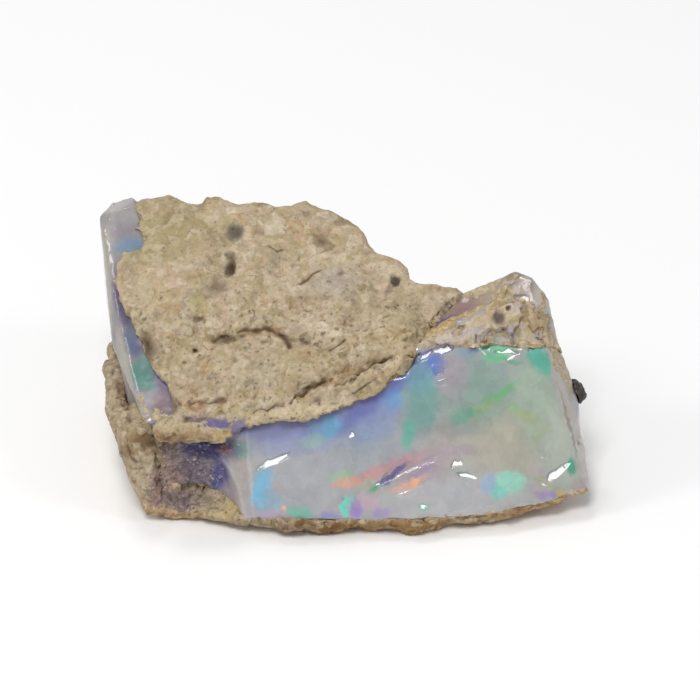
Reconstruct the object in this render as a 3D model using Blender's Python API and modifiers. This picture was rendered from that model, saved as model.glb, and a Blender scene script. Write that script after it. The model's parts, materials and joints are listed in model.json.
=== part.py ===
"""Rough opal specimen: a mass of precious opal with its host rock still on it.

The opal is one glassy block with broken, shell-curved faces. A sloping plate of sandy rock caps it,
a brown crust lies under it and climbs its left side and its back, a patch of rock clings to the
ridge at the right, and a black grain sits in the right edge. Metres, +Z up, -Y towards the front;
the origin is the middle of the base.
"""

import bmesh
import bpy
from mathutils import Vector, noise

# ---- Driving dimensions -------------------------------------------------------------------------
WIDTH = 0.0400
DEPTH = 0.0230
HEIGHT = 0.0180
GAP = 0.0004  # between the opal and the rock, taken at the opal's corners
FINE_NET = 0.00040  # the faces of a rock's surface before it is thinned out
FINEST_NET = 0.00028  # the same on a small rock

# ---- Corners of the blocks: shares of width, depth and height from the middle of the base --------
OPAL_SEAM = {
    "front foot, left": (-0.195, -0.420, 0.085),
    "front foot, middle": (0.105, -0.425, 0.080),
    "front foot, right": (0.300, -0.385, 0.085),
    "right foot": (0.400, -0.200, 0.130),
    "right foot, back": (0.300, 0.230, 0.200),
    "back foot, right": (0.100, 0.380, 0.240),
    "back foot, left": (-0.300, 0.455, 0.280),
    "left foot, back": (-0.470, 0.440, 0.380),
    "left foot, front": (-0.400, -0.290, 0.150),
    "front edge, left": (-0.190, -0.262, 0.430),
    "front edge, middle": (-0.030, -0.235, 0.480),
    "front edge, under the cap's end": (0.110, -0.157, 0.620),
    "right edge": (0.250, 0.000, 0.600),
    "back edge, right": (0.130, 0.320, 0.540),
    "back edge, left": (-0.200, 0.480, 0.600),
    "left edge, back": (-0.486, 0.460, 0.660),
    "left edge, middle": (-0.462, 0.100, 0.600),
    "left edge, front": (-0.375, -0.265, 0.380),
}
OPAL_WEDGE = {
    "foot, left": (0.105, -0.425, 0.080),
    "foot, middle": (0.300, -0.385, 0.085),
    "foot, right": (0.488, -0.285, 0.110),
    "foot, back right": (0.440, 0.200, 0.190),
    "foot, back left": (0.080, 0.390, 0.235),
    "face top, left": (0.110, -0.157, 0.620),
    "face top, ridge": (0.200, -0.095, 0.735),
    "face top, right": (0.388, -0.070, 0.700),
    "right side, middle": (0.466, -0.105, 0.400),
    "shoulder": (0.428, 0.005, 0.610),
    "shoulder, back": (0.408, 0.230, 0.540),
    "back": (0.150, 0.330, 0.560),
}
OPAL_PEAK = {
    "ridge start": (0.122, -0.108, 0.690),
    "front, left": (0.200, -0.070, 0.725),
    "front, right": (0.380, -0.040, 0.690),
    "right": (0.424, 0.040, 0.610),
    "right, back": (0.398, 0.260, 0.520),
    "back": (0.230, 0.290, 0.560),
    "saddle": (0.225, 0.170, 0.770),
    "top, left": (0.306, 0.110, 0.910),
    "top": (0.334, 0.120, 0.940),
    "top, right": (0.372, 0.125, 0.900),
    "shoulder": (0.402, 0.105, 0.800),
    "top, back": (0.350, 0.240, 0.800),
}
OPAL_CORNER = {
    "top, outer": (-0.497, 0.470, 0.970),
    "top, middle": (-0.460, 0.480, 1.018),
    "top, inner": (-0.428, 0.490, 1.028),
    "cap side, back": (-0.350, 0.470, 0.800),
    "cap side, middle": (-0.370, 0.240, 0.780),
    "cap side, front": (-0.335, -0.215, 0.455),
    "side, front": (-0.395, -0.240, 0.420),
    "side, middle": (-0.455, 0.120, 0.700),
    "side, low": (-0.465, 0.080, 0.560),
    "foot, outer": (-0.488, 0.455, 0.500),
    "foot, inner": (-0.370, 0.450, 0.500),
}
# The cap's plate, its thin end on the opal's slope and its ledge over the hollow at the front, left.
# The fourth number is how thick the rock is at that corner, as a share of the height.
CAP = {
    "back, left": (-0.425, 0.500, 1.028, 0.30),
    "back, middle": (-0.220, 0.503, 1.015, 0.40),
    "back, right": (-0.055, 0.505, 0.973, 0.40),
    "right, back": (0.012, 0.455, 0.897, 0.38),
    "right, middle": (0.078, 0.310, 0.850, 0.32),
    "saddle": (0.140, 0.200, 0.842, 0.28),
    "ridge": (0.132, -0.065, 0.735, 0.16),
    "front, right": (0.112, -0.182, 0.690, 0.09),
    "front, middle": (-0.030, -0.272, 0.550, 0.05),
    "front, left": (-0.180, -0.282, 0.505, 0.05),
    "ledge": (-0.298, -0.315, 0.485, 0.05),
    "left, low": (-0.315, -0.190, 0.545, 0.06),
    "left, front": (-0.350, -0.095, 0.587, 0.07),
    "left, middle": (-0.457, 0.170, 0.810, 0.12),
    "left, back": (-0.450, 0.270, 0.852, 0.16),
}
CAP_END = {
    "in the cap, back": (0.060, 0.250, 0.800, 0.20),
    "saddle": (0.172, 0.195, 0.818, 0.24),
    "slope end": (0.246, 0.165, 0.778, 0.08),
    "ridge": (0.140, -0.065, 0.745, 0.12),
    "in the cap, front": (0.040, -0.100, 0.690, 0.10),
}
CAP_LEDGE = {
    "left, front": (-0.376, -0.335, 0.472, 0.03),
    "left, back": (-0.374, -0.275, 0.484, 0.03),
    "in the cap, left": (-0.300, -0.230, 0.508, 0.04),
    "in the cap, right": (-0.240, -0.260, 0.508, 0.04),
    "right, front": (-0.222, -0.335, 0.466, 0.03),
}
BASE_PLATE = {
    "floor, front left": (-0.330, -0.310, -0.030),
    "floor, front": (-0.060, -0.385, -0.030),
    "floor, front right": (0.240, -0.340, -0.030),
    "floor, right": (0.380, -0.120, -0.020),
    "floor, back right": (0.260, 0.260, -0.020),
    "floor, back": (-0.050, 0.380, -0.030),
    "floor, back left": (-0.350, 0.340, -0.030),
    "floor, left": (-0.400, 0.020, -0.030),
    "rim, front left": (-0.395, -0.340, 0.070),
    "rim, front": (-0.140, -0.440, 0.085),
    "rim, front middle": (0.110, -0.448, 0.085),
    "rim, front right": (0.310, -0.402, 0.095),
    "rim, right": (0.500, -0.300, 0.120),
    "rim, back right": (0.450, 0.230, 0.220),
    "rim, back": (0.130, 0.410, 0.290),
    "rim, back middle": (-0.150, 0.490, 0.350),
    "rim, back left": (-0.400, 0.480, 0.200),
}
BASE_WALL = {
    "foot, front": (-0.392, -0.335, 0.040),
    "side, front": (-0.421, -0.330, 0.180),
    "foot, right": (-0.355, -0.352, 0.040),
    "foot, left": (-0.470, 0.150, 0.080),
    "foot, back left": (-0.450, 0.430, 0.080),
    "foot, back": (-0.100, 0.480, 0.100),
    "top, back": (-0.300, 0.500, 0.450),
    "top, back left": (-0.477, 0.455, 0.350),
    "top, left": (-0.478, 0.200, 0.430),
    "top, left middle": (-0.479, -0.050, 0.440),
    "top, left front": (-0.461, -0.180, 0.390),
    "top, front": (-0.418, -0.325, 0.440),
}
PEAK_ROCK = {
    "ridge": (0.158, -0.100, 0.752),
    "front, left": (0.275, -0.095, 0.750),
    "front, right": (0.385, -0.080, 0.710),
    "right": (0.430, 0.000, 0.640),
    "right, low": (0.448, -0.010, 0.480),
    "right, low back": (0.435, 0.120, 0.460),
    "right, back": (0.404, 0.170, 0.640),
    "upper right": (0.388, 0.075, 0.830),
    "upper": (0.330, 0.010, 0.870),
    "upper left": (0.276, -0.010, 0.862),
}
# The hollow at the front, left, under the cap's overhang: a scoop out of each piece.
OPAL_SCOOP = {"middle": (-0.305, -0.520, 0.220), "radii": (0.0048, 0.0060, 0.0075)}
ROCK_SCOOP = {"middle": (-0.262, -0.560, 0.265), "radii": (0.0043, 0.0074, 0.0040)}
# The notch in the cap's left edge, towards the back.
NOTCH = {"middle": (-0.441, 0.330, 0.930), "radii": (0.0015, 0.0011, 0.0030)}
# Shell-shaped breaks in the opal: a place on its surface, the way the break faces, the radius of
# its curve and its depth.
FRONT = (0.0, -0.866, 0.5)
BREAKS = {
    "front face, left": ((-0.080, -0.330, 0.290), FRONT, 0.0300, 0.00030),
    "front face, middle": ((0.110, -0.290, 0.350), FRONT, 0.0360, 0.00035),
    "front face, right": ((0.290, -0.230, 0.420), FRONT, 0.0280, 0.00030),
    "top edge, left": ((0.150, -0.130, 0.650), (0.2, -0.7, 0.7), 0.0040, 0.00040),
    "top edge, right": ((0.310, -0.080, 0.710), (0.0, -0.7, 0.7), 0.0030, 0.00045),
    "right edge": ((0.463, -0.231, 0.257), (0.75, -0.6, 0.3), 0.0045, 0.00040),
    "right side": ((0.478, -0.180, 0.300), (1.0, 0.1, 0.3), 0.0080, 0.00035),
    "peak, left": ((0.270, 0.130, 0.840), (-0.5, -0.3, 0.8), 0.0050, 0.00045),
    "peak, back": ((0.350, 0.215, 0.720), (0.3, 0.9, 0.3), 0.0060, 0.00050),
    "back": ((0.200, 0.320, 0.400), (0.3, 0.9, 0.2), 0.0200, 0.00060),
}
# The cap's crack: places along it in shares of width and depth, each with its depth, then half its
# breadth, and how much lower the lip in front of it lies.
CRACK = (
    (-0.110, -0.222, 0.0008),
    (-0.022, -0.180, 0.0015),
    (0.045, -0.146, 0.0013),
    (0.085, -0.122, 0.0006),
)
CRACK_REACH = 0.00065
LIP_DROP = 0.00030
# Pits in the cap: a place in shares of width and depth, a radius and a depth.
PITS = {
    "deep, back": (-0.245, 0.235, 0.0013, 0.0009),
    "back": (-0.225, 0.330, 0.0011, 0.0006),
    "left": (-0.300, 0.010, 0.0009, 0.0006),
    "middle": (-0.150, -0.020, 0.0016, 0.0005),
    "front, left": (-0.290, -0.190, 0.0010, 0.0005),
    "front": (-0.190, -0.190, 0.0010, 0.0006),
    "right": (0.070, 0.180, 0.0010, 0.0007),
    "right, front": (0.020, 0.010, 0.0014, 0.0005),
    "ridge end": (0.110, 0.050, 0.0009, 0.0005),
}
GRAIN = {"middle": (0.4590, -0.045, 0.440), "radii": (0.00085, 0.00095, 0.00115)}


def at(place: tuple) -> Vector:
    """The point at these shares of the specimen's width, depth and height."""
    return Vector((place[0] * WIDTH, place[1] * DEPTH, place[2] * HEIGHT))


def corners_of(table: dict) -> list:
    """The corner points of one block."""
    return [at(place) for place in table.values()]


def clear_scene() -> None:
    """Removes whatever the scene holds."""
    for thing in list(bpy.data.objects):
        bpy.data.objects.remove(thing)


def new_group(name: str) -> bpy.types.Collection:
    """A collection in the scene."""
    group = bpy.data.collections.new(name)
    bpy.context.scene.collection.children.link(group)
    return group


def finish(thing: bpy.types.Object, name: str, colour: tuple, roughness: float) -> None:
    """Gives the piece a plain material."""
    made = bpy.data.materials.new(name)
    made.use_nodes = True
    shader = made.node_tree.nodes["Principled BSDF"]
    shader.inputs["Base Color"].default_value = (*colour, 1.0)
    shader.inputs["Roughness"].default_value = roughness
    shader.inputs["Metallic"].default_value = 0.0
    thing.data.materials.append(made)


def block(name: str, group: bpy.types.Collection, *solids: list) -> bpy.types.Object:
    """Flat-faced solids in one object: each is the hull of a list of corners."""
    shape = bmesh.new()
    for corners in solids:
        points = [shape.verts.new(corner) for corner in corners]
        made = bmesh.ops.convex_hull(shape, input=points)
        spare = made["geom_interior"] + made["geom_unused"]
        bmesh.ops.delete(shape, geom=[v for v in set(spare) if isinstance(v, bmesh.types.BMVert)])
    bmesh.ops.recalc_face_normals(shape, faces=shape.faces)
    mesh = bpy.data.meshes.new(name)
    shape.to_mesh(mesh)
    shape.free()
    thing = bpy.data.objects.new(name, mesh)
    group.objects.link(thing)
    return thing


def as_helper(thing: bpy.types.Object, group: bpy.types.Collection) -> bpy.types.Object:
    """Moves a cutter or a guide to its own collection and keeps it out of the model."""
    for other in list(thing.users_collection):
        other.objects.unlink(thing)
    group.objects.link(thing)
    thing.hide_render = True
    thing.display_type = "WIRE"
    return thing


def combine(thing: bpy.types.Object, other: bpy.types.Object, operation: str) -> None:
    """Adds a Boolean modifier."""
    step = thing.modifiers.new(operation.title() + " " + other.name, "BOOLEAN")
    step.operation = operation
    step.solver = "EXACT"
    step.object = other


def bake(thing: bpy.types.Object) -> None:
    """Replaces the object's mesh by what its modifiers make of it."""
    graph = bpy.context.evaluated_depsgraph_get()
    made = bpy.data.meshes.new_from_object(thing.evaluated_get(graph))
    thing.modifiers.clear()
    thing.data = made


def swell(thing: bpy.types.Object, by: float) -> None:
    """Moves the corners of a flat-faced block out."""
    grow = thing.modifiers.new("Swell", "DISPLACE")
    grow.mid_level = 0
    grow.strength = by


def ball(name: str, middle: Vector, radii: tuple, detail: int) -> bpy.types.Object:
    """A round or egg-shaped solid."""
    bpy.ops.mesh.primitive_ico_sphere_add(subdivisions=detail, radius=1.0, location=middle)
    thing = bpy.context.object
    thing.name = name
    thing.scale = radii
    return thing


def opal_blocks(name: str, cutters: bpy.types.Collection, grow: float) -> list:
    """The opal's four blocks, each swollen this much, and the first with the scoop in it."""
    tables = {"seam": OPAL_SEAM, "wedge": OPAL_WEDGE, "peak": OPAL_PEAK, "corner": OPAL_CORNER}
    blocks = []
    for part, table in tables.items():
        solid = as_helper(block(name + " " + part, cutters, corners_of(table)), cutters)
        swell(solid, grow)
        blocks.append(solid)
    radii = [radius - grow for radius in OPAL_SCOOP["radii"]]
    scoop = ball(name + " scoop", at(OPAL_SCOOP["middle"]), radii, 3)
    combine(blocks[0], as_helper(scoop, cutters), "DIFFERENCE")
    return blocks


def make_opal(group: bpy.types.Collection, cutters: bpy.types.Collection) -> bpy.types.Object:
    """The opal: its blocks in one solid, with shallow shells broken out of its faces and edges."""
    seam, *others = opal_blocks("opal", cutters, 0)
    opal = seam.copy()
    opal.data = seam.data.copy()
    opal.name = "opal"
    opal.hide_render = False
    opal.display_type = "TEXTURED"
    group.objects.link(opal)
    for other in others:
        combine(opal, other, "UNION")
    for name, (place, facing, radius, depth) in BREAKS.items():
        middle = at(place) + Vector(facing).normalized() * (radius - depth)
        detail = 5 if radius > WIDTH / 4 else 4
        shell = ball("break, " + name, middle, (radius,) * 3, detail)
        combine(opal, as_helper(shell, cutters), "DIFFERENCE")
    bake(opal)
    return opal


def chip(point: Vector, size: float) -> float:
    """The height of a broken surface at a point: tilted chips of this size, with steps between."""
    spot = point / size
    middle = noise.voronoi(spot)[1][0]
    tilt = 2 * noise.cell_vector(middle * 7.3) - Vector((1, 1, 1))
    return (spot - middle).dot(tilt) + noise.noise(middle * 3.1)


def even_net(rock: bpy.types.Object, voxel: float) -> None:
    """Gives the object one closed surface with faces of an even size."""
    net = rock.modifiers.new("Remesh", "REMESH")
    net.mode = "VOXEL"
    net.voxel_size = voxel
    bake(rock)


def weather(rock: bpy.types.Object, chips: tuple, lumps: tuple) -> None:
    """Breaks the surface into chips and lumps, each given as a size and a height."""
    for corner in rock.data.vertices:
        out = chips[1] * chip(corner.co, chips[0])
        out += lumps[1] * noise.fractal(corner.co / lumps[0], 1.0, 2.0, 3)
        corner.co += corner.normal * out


def open_crack(rock: bpy.types.Object) -> None:
    """Sinks the crack into the rock's upper side and drops the lip in front of it."""
    for corner in rock.data.vertices:
        for (*start, deep), (*end, deep_end) in zip(CRACK, CRACK[1:]):
            start, end = at((*start, 0)), at((*end, 0))
            if corner.normal.z < 0 or not start.x <= corner.co.x < end.x:
                continue
            along = (corner.co.x - start.x) / (end.x - start.x)
            across = (corner.co.y - start.lerp(end, along).y) / CRACK_REACH
            if abs(across) < 1:
                corner.co.z -= (deep + along * (deep_end - deep)) * (1 - across**2)
            elif across < 0:
                corner.co.z -= LIP_DROP


def press_pits(rock: bpy.types.Object) -> None:
    """Sinks the pits into the rock's upper side."""
    for x, y, radius, depth in PITS.values():
        middle = at((x, y, 0))
        for corner in rock.data.vertices:
            away = (corner.co.xy - middle.xy).length / radius
            if away < 1 and corner.normal.z > 0:
                corner.co.z -= depth * (1 - away**2)


def thin_out(rock: bpy.types.Object, voxel: float, keep: float) -> None:
    """Nets the surface again, which parts faces that cross, and keeps this share of its faces."""
    even_net(rock, voxel)
    thin = rock.modifiers.new("Decimate", "DECIMATE")
    thin.ratio = keep


def fit_round(thing: bpy.types.Object, room: list) -> None:
    """Cuts the opal's room out of a rock and drops the crumbs that this parts from it."""
    for solid in room:
        combine(thing, solid, "DIFFERENCE")
    bake(thing)
    shape = bmesh.new()
    shape.from_mesh(thing.data)
    left = set(shape.verts)
    pieces = []
    while left:
        piece = [left.pop()]
        for corner in piece:
            linked = {edge.other_vert(corner) for edge in corner.link_edges} & left
            left -= linked
            piece.extend(linked)
        pieces.append(piece)
    pieces.sort(key=len)
    crumbs = [corner for piece in pieces[:-1] for corner in piece]
    bmesh.ops.delete(shape, geom=crumbs)
    shape.to_mesh(thing.data)
    shape.free()


def make_cap(group: bpy.types.Collection, cutters: bpy.types.Collection, room: list):
    """The sandy rock on the opal: a sloping plate, its thin end and its ledge, cracked and pitted."""
    solids = []
    for table in (CAP, CAP_END, CAP_LEDGE):
        top = corners_of(table)
        under = [point - at((0, 0, place[3])) for point, place in zip(top, table.values())]
        solids.append(top + under)
    cap = block("cap_rock", group, *solids)
    even_net(cap, FINE_NET)
    weather(cap, (0.0026, 0.00050), (0.0055, 0.00042))
    open_crack(cap)
    press_pits(cap)
    thin_out(cap, FINE_NET, 0.25)
    notch = ball("notch", at(NOTCH["middle"]), NOTCH["radii"], 3)
    combine(cap, as_helper(notch, cutters), "DIFFERENCE")
    fit_round(cap, room)
    return cap


def make_base(group: bpy.types.Collection, cutters: bpy.types.Collection, room: list):
    """The brown crust under the opal and up its left side, flat where it stands."""
    base = block("base_rock", group, corners_of(BASE_PLATE), corners_of(BASE_WALL))
    even_net(base, FINE_NET)
    weather(base, (0.0024, 0.00040), (0.0050, 0.00035))
    thin_out(base, FINE_NET, 0.19)
    scoop = ball("rock_scoop", at(ROCK_SCOOP["middle"]), ROCK_SCOOP["radii"], 3)
    combine(base, as_helper(scoop, cutters), "DIFFERENCE")
    bpy.ops.mesh.primitive_cube_add(size=2 * WIDTH, location=(0, 0, -WIDTH))
    combine(base, as_helper(bpy.context.object, cutters), "DIFFERENCE")
    fit_round(base, room)
    return base


def make_peak_rock(group: bpy.types.Collection, room: list) -> bpy.types.Object:
    """The patch of rock along the ridge and down the right shoulder."""
    patch = block("peak_rock", group, corners_of(PEAK_ROCK))
    even_net(patch, FINEST_NET)
    weather(patch, (0.0016, 0.00030), (0.0030, 0.00025))
    thin_out(patch, FINEST_NET, 0.25)
    fit_round(patch, room)
    return patch


def make_grain(group: bpy.types.Collection, room: list) -> bpy.types.Object:
    """The black grain in the right edge."""
    grain = ball("dark_grain", at(GRAIN["middle"]), GRAIN["radii"], 3)
    for other in list(grain.users_collection):
        other.objects.unlink(grain)
    group.objects.link(grain)
    bpy.context.view_layer.objects.active = grain
    bpy.ops.object.transform_apply(location=True, rotation=False, scale=True)
    for corner in grain.data.vertices:
        corner.co += corner.normal * 0.00025 * chip(corner.co, 0.0009)
    fit_round(grain, room)
    return grain


def centre_on_base(group: bpy.types.Collection) -> None:
    """Moves all the objects so that the middle of the specimen's base is at the origin."""
    points = [corner.co for thing in group.objects for corner in thing.data.vertices]
    low, high = (Vector([pick(axis) for axis in zip(*points)]) for pick in (min, max))
    for thing in bpy.data.objects:
        thing.location -= Vector(((low.x + high.x) / 2, (low.y + high.y) / 2, low.z))


def main() -> None:
    """Builds the five pieces."""
    clear_scene()
    specimen = new_group("Rough opal specimen")
    cutters = new_group("Cutters")
    room = opal_blocks("room", cutters, GAP)
    cap = make_cap(specimen, cutters, room)
    base = make_base(specimen, cutters, room)
    patch = make_peak_rock(specimen, room)
    grain = make_grain(specimen, room)
    opal = make_opal(specimen, cutters)
    centre_on_base(specimen)
    finish(opal, "opal", (0.45, 0.48, 0.62), 0.1)
    finish(cap, "sandy rock", (0.52, 0.42, 0.27), 0.9)
    finish(base, "brown crust", (0.36, 0.25, 0.14), 0.9)
    finish(patch, "ridge rock", (0.46, 0.34, 0.20), 0.9)
    finish(grain, "black grain", (0.03, 0.03, 0.035), 0.5)


main()
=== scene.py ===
"""Looks of the rough opal specimen: fine broken surfaces, sandy rock and play of colour.

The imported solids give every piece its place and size. Each is netted finely, worked over with
chips, grains, pits and cracks, and dressed in a node material. Sizes are in millimetres unless a
name ends in _m. A place on the stone is named by where it shows in the 700 by 700 view from the
front, in pixels, and a line of sight finds it on the surface.
"""

from __future__ import annotations

import json
import logging
import math
from dataclasses import dataclass, replace
from enum import Enum, IntEnum

import bmesh
import bpy
import numpy as np
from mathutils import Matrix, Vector
from mathutils.bvhtree import BVHTree

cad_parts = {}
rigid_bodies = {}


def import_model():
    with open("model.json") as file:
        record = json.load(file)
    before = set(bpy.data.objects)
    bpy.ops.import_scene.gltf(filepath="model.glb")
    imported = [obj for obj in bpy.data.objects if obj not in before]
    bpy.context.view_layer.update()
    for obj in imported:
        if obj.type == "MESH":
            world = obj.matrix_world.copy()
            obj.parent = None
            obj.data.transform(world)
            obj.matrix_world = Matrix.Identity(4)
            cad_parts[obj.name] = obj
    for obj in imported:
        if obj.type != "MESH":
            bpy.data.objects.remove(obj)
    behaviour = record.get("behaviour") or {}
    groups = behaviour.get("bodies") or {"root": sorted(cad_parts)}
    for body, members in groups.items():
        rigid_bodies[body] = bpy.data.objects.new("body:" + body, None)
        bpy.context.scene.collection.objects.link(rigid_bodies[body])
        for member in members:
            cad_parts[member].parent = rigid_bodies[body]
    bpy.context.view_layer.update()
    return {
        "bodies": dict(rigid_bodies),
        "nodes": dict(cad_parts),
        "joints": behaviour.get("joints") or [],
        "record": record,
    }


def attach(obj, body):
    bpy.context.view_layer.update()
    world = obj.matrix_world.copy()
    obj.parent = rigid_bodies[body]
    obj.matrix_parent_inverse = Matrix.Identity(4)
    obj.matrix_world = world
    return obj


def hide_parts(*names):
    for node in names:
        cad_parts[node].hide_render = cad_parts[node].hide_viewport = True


LOG = logging.getLogger("rough_opal")
MM = 0.001  # metres in a millimetre
BODY = "root"  # the body that every piece rides on
PICTURE = 700  # the side of the view, in pixels
FAR_OFF = 99.0  # further than any place on the stone
FULL_SHADE_DEPTH = 0.3  # a dent this deep, in millimetres, gets the darkest painted shade
CHIP_MARGIN = 1.3  # how far round a chip the net is made finer, in its reaches
SHARPEST = 99  # the percentile of bend that counts as a full edge


class Slot(Enum):
    """The record's material slots."""

    OPAL = "precious_opal"
    SANDY = "sandy_rock"
    CRUST = "brown_crust"
    RIDGE = "ridge_rock"
    GRAIN = "black_grain"


def paint(red: float, green: float, blue: float) -> tuple[float, float, float, float]:
    """A colour as light values.

    Args:
        red, green, blue: the shares of the display colour, from 0 to 255.

    Returns:
        The linear colour with an alpha of 1.
    """
    shares = [channel / 255 for channel in (red, green, blue)]
    linear = [s / 12.92 if s <= 0.04045 else ((s + 0.055) / 1.055) ** 2.4 for s in shares]
    return (*linear, 1.0)


# ---- Where the specimen is seen from --------------------------------------------------------


@dataclass(frozen=True)
class Sight:
    """The view that places on the stone are named in."""

    elevation: float = 35.0
    lens: float = 240.0
    sensor: float = 36.0
    distance_m: float = 0.376334
    target_m: tuple[float, float, float] = (0.0005, 0.004345, 0.00753)

    @property
    def back(self) -> Vector:
        """The direction from the stone to the eye."""
        tilt = math.radians(self.elevation)
        return Vector((0, -math.cos(tilt), math.sin(tilt)))

    @property
    def up(self) -> Vector:
        """The view's upward direction."""
        tilt = math.radians(self.elevation)
        return Vector((0, math.sin(tilt), math.cos(tilt)))

    def camera(self) -> bpy.types.Object:
        """Makes the camera and gives it to the scene.

        Returns:
            The camera.
        """
        made = bpy.data.objects.new("camera", bpy.data.cameras.new("camera"))
        made.data.lens = self.lens
        made.data.sensor_width = self.sensor
        made.data.clip_start = 0.01
        made.location = Vector(self.target_m) + self.back * self.distance_m
        made.rotation_mode = "QUATERNION"
        made.rotation_quaternion = (-self.back).to_track_quat("-Z", "Y")
        bpy.context.scene.collection.objects.link(made)
        bpy.context.scene.camera = made
        return made

    def find(self, surface: BVHTree, at: tuple[float, float], name: str = "") -> Vector | None:
        """The place on a surface that shows at a point of the view.

        Args:
            surface: the surface to look at, in millimetres.
            at: the point, in pixels from the view's top left corner.
            name: what lies there, which is reported if the line of sight misses.

        Returns:
            The place in millimetres, or None where the line of sight misses.
        """
        eye = (Vector(self.target_m) + self.back * self.distance_m) / MM
        spread = self.sensor / self.lens / PICTURE
        across, down = ((value - PICTURE / 2) * spread for value in at)
        ray = (Vector((1, 0, 0)) * across - self.up * down - self.back).normalized()
        place = surface.ray_cast(eye, ray)[0]
        if place is None and name:
            LOG.warning("%s is off the surface", name)
        return place

    def oval(self, turn: float, reach: tuple[float, float], deep: float) -> tuple[Vector, ...]:
        """An oval's three directions, each divided by its reach.

        Args:
            turn: how far its length is turned in the view, in degrees.
            reach: half its length and half its breadth.
            deep: how far it reaches along the line of sight.

        Returns:
            Its directions along, aside and deep.
        """
        angle = math.radians(turn)
        along = Vector((1, 0, 0)) * math.cos(angle) + self.up * math.sin(angle)
        return along / reach[0], self.back.cross(along) / reach[1], self.back / deep


SIGHT = Sight()


def shares_of(axes: tuple[Vector, ...], offset: np.ndarray) -> np.ndarray:
    """How far places are from an oval's middle.

    Args:
        axes: the oval's directions, each divided by its reach.
        offset: the places from its middle, one row each.

    Returns:
        One number for each place: 1 on the oval's rim.
    """
    return np.linalg.norm(offset @ np.array(axes).T, axis=1)


# ---- Noise --------------------------------------------------------------------------------


class Seed(IntEnum):
    """Which noise each effect takes."""

    SWELL = 11
    RIPPLE = 12
    SCAR = 13
    CRYSTAL = 14
    MATTE = 15
    COVER = 20
    CALM = 39
    CAP = 40
    CRACK = 71
    RAGGED = 80
    GRAIN = 90
    GRAIN_ROUGH = 91
    BASE = 140
    RIDGE = 240


class Layer(IntEnum):
    """The noise of each layer of a rock, counted from the rock's own seed."""

    LUMP = 0
    CHIP = 10
    GRAIN = 20
    CRUMB = 25
    PIT = 30
    SEAM = 40
    EDGE = 50
    EDGE_FINE = 51
    WEAR = 60
    FLECK = 70


CELL_PRIMES = (73856093, 19349663, 83492791)
SEED_PRIME = 374761393
MIX_PRIME = 1274126177
LOW_BITS = 0xFFFFFF
WORD = 0xFFFFFFFF


def scatter(cell: np.ndarray, seed: int) -> np.ndarray:
    """A number for each lattice cell, the same for the same cell and seed.

    Args:
        cell: the cells' whole numbers, one row each.
        seed: which numbers.

    Returns:
        One number from 0 to 1 for each cell.
    """
    first, second, third = (cell * CELL_PRIMES).T
    mixed = first ^ second ^ third ^ (seed * SEED_PRIME)
    mixed = ((mixed ^ (mixed >> 13)) * MIX_PRIME) & WORD
    mixed ^= mixed >> 16
    return (mixed & LOW_BITS) / LOW_BITS


def waves(points: np.ndarray, size: float, seed: int, octaves: int = 1) -> np.ndarray:
    """Smooth noise from -1 to 1.

    Args:
        points: places in millimetres, one row each.
        size: the length of one swell in millimetres.
        seed: which noise.
        octaves: how many layers, each half the size and half the height of the last.

    Returns:
        One value for each place.
    """
    total = np.zeros(len(points))
    height = 1.0
    for octave in range(octaves):
        spot = points / size
        cell = np.floor(spot).astype(np.int64)
        part = spot - cell
        part = part * part * (3 - 2 * part)
        for corner in range(8):
            step = np.array([corner & 1, corner >> 1 & 1, corner >> 2 & 1])
            weight = np.prod(np.where(step == 1, part, 1 - part), axis=1)
            total += height * weight * (2 * scatter(cell + step, seed + octave) - 1)
        size, height = size / 2, height / 2
    return total


def drift(points: np.ndarray, size: float, seed: int, octaves: int) -> np.ndarray:
    """Three noises side by side, which shift places along each axis.

    Args:
        points: places in millimetres, one row each.
        size: the length of one swell in millimetres.
        seed: the first of the three noises.
        octaves: how many layers each has.

    Returns:
        One row from -1 to 1 for each place.
    """
    return np.stack([waves(points, size, seed + axis, octaves) for axis in range(3)], axis=1)


def grains(points: np.ndarray, size: float, seed: int) -> tuple[np.ndarray, ...]:
    """Packed grains.

    Args:
        points: places in millimetres, one row each.
        size: the grains' size in millimetres.
        seed: which packing.

    Returns:
        How far each place is from its grain's middle and from the next grain's, in grain
        sizes, and a number from 0 to 1 that names the grain.
    """
    spot = points / size
    cell = np.floor(spot).astype(np.int64)
    near = np.full(len(points), FAR_OFF)
    far = near.copy()
    pick = np.zeros(len(points))
    for number in range(27):
        there = cell + np.array([number % 3 - 1, number // 3 % 3 - 1, number // 9 - 1])
        jitter = np.stack([scatter(there, seed + axis) for axis in range(3)], axis=1)
        away = np.linalg.norm(there + jitter - spot, axis=1)
        nearer = away < near
        far = np.where(nearer, near, np.minimum(far, away))
        pick = np.where(nearer, scatter(there, seed + 3), pick)
        near = np.minimum(near, away)
    return near, far, pick


# ---- Fine surfaces ------------------------------------------------------------------------


@dataclass(frozen=True)
class Cut:
    """A long narrow break, such as a crack, along points of the view."""

    path: tuple[tuple[float, float], ...]
    breadth: float
    depth: float


@dataclass(frozen=True)
class Dent:
    """A round or long dent, or a bump if its depth is below zero.

    at is where its middle shows, reach is half its length and half its breadth, and turn is in
    degrees.
    """

    at: tuple[float, float]
    reach: tuple[float, float]
    turn: float
    depth: float


@dataclass(frozen=True)
class Chip:
    """A flat chip off an edge or a face.

    at is where its middle shows, facing is the way that the broken face looks, bite is its depth,
    reach is half its length and half its breadth, and turn is in degrees.
    """

    at: tuple[float, float]
    facing: tuple[float, float, float]
    bite: float
    reach: tuple[float, float]
    turn: float = 0.0

    def away(self, offset: np.ndarray) -> np.ndarray:
        """How far places are from the chip's middle, as shares of its reach.

        Args:
            offset: the places from the chip's middle, one row each.

        Returns:
            One number for each place: 1 on the chip's rim.
        """
        return shares_of(SIGHT.oval(self.turn, self.reach, max(self.reach)), offset)


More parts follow.
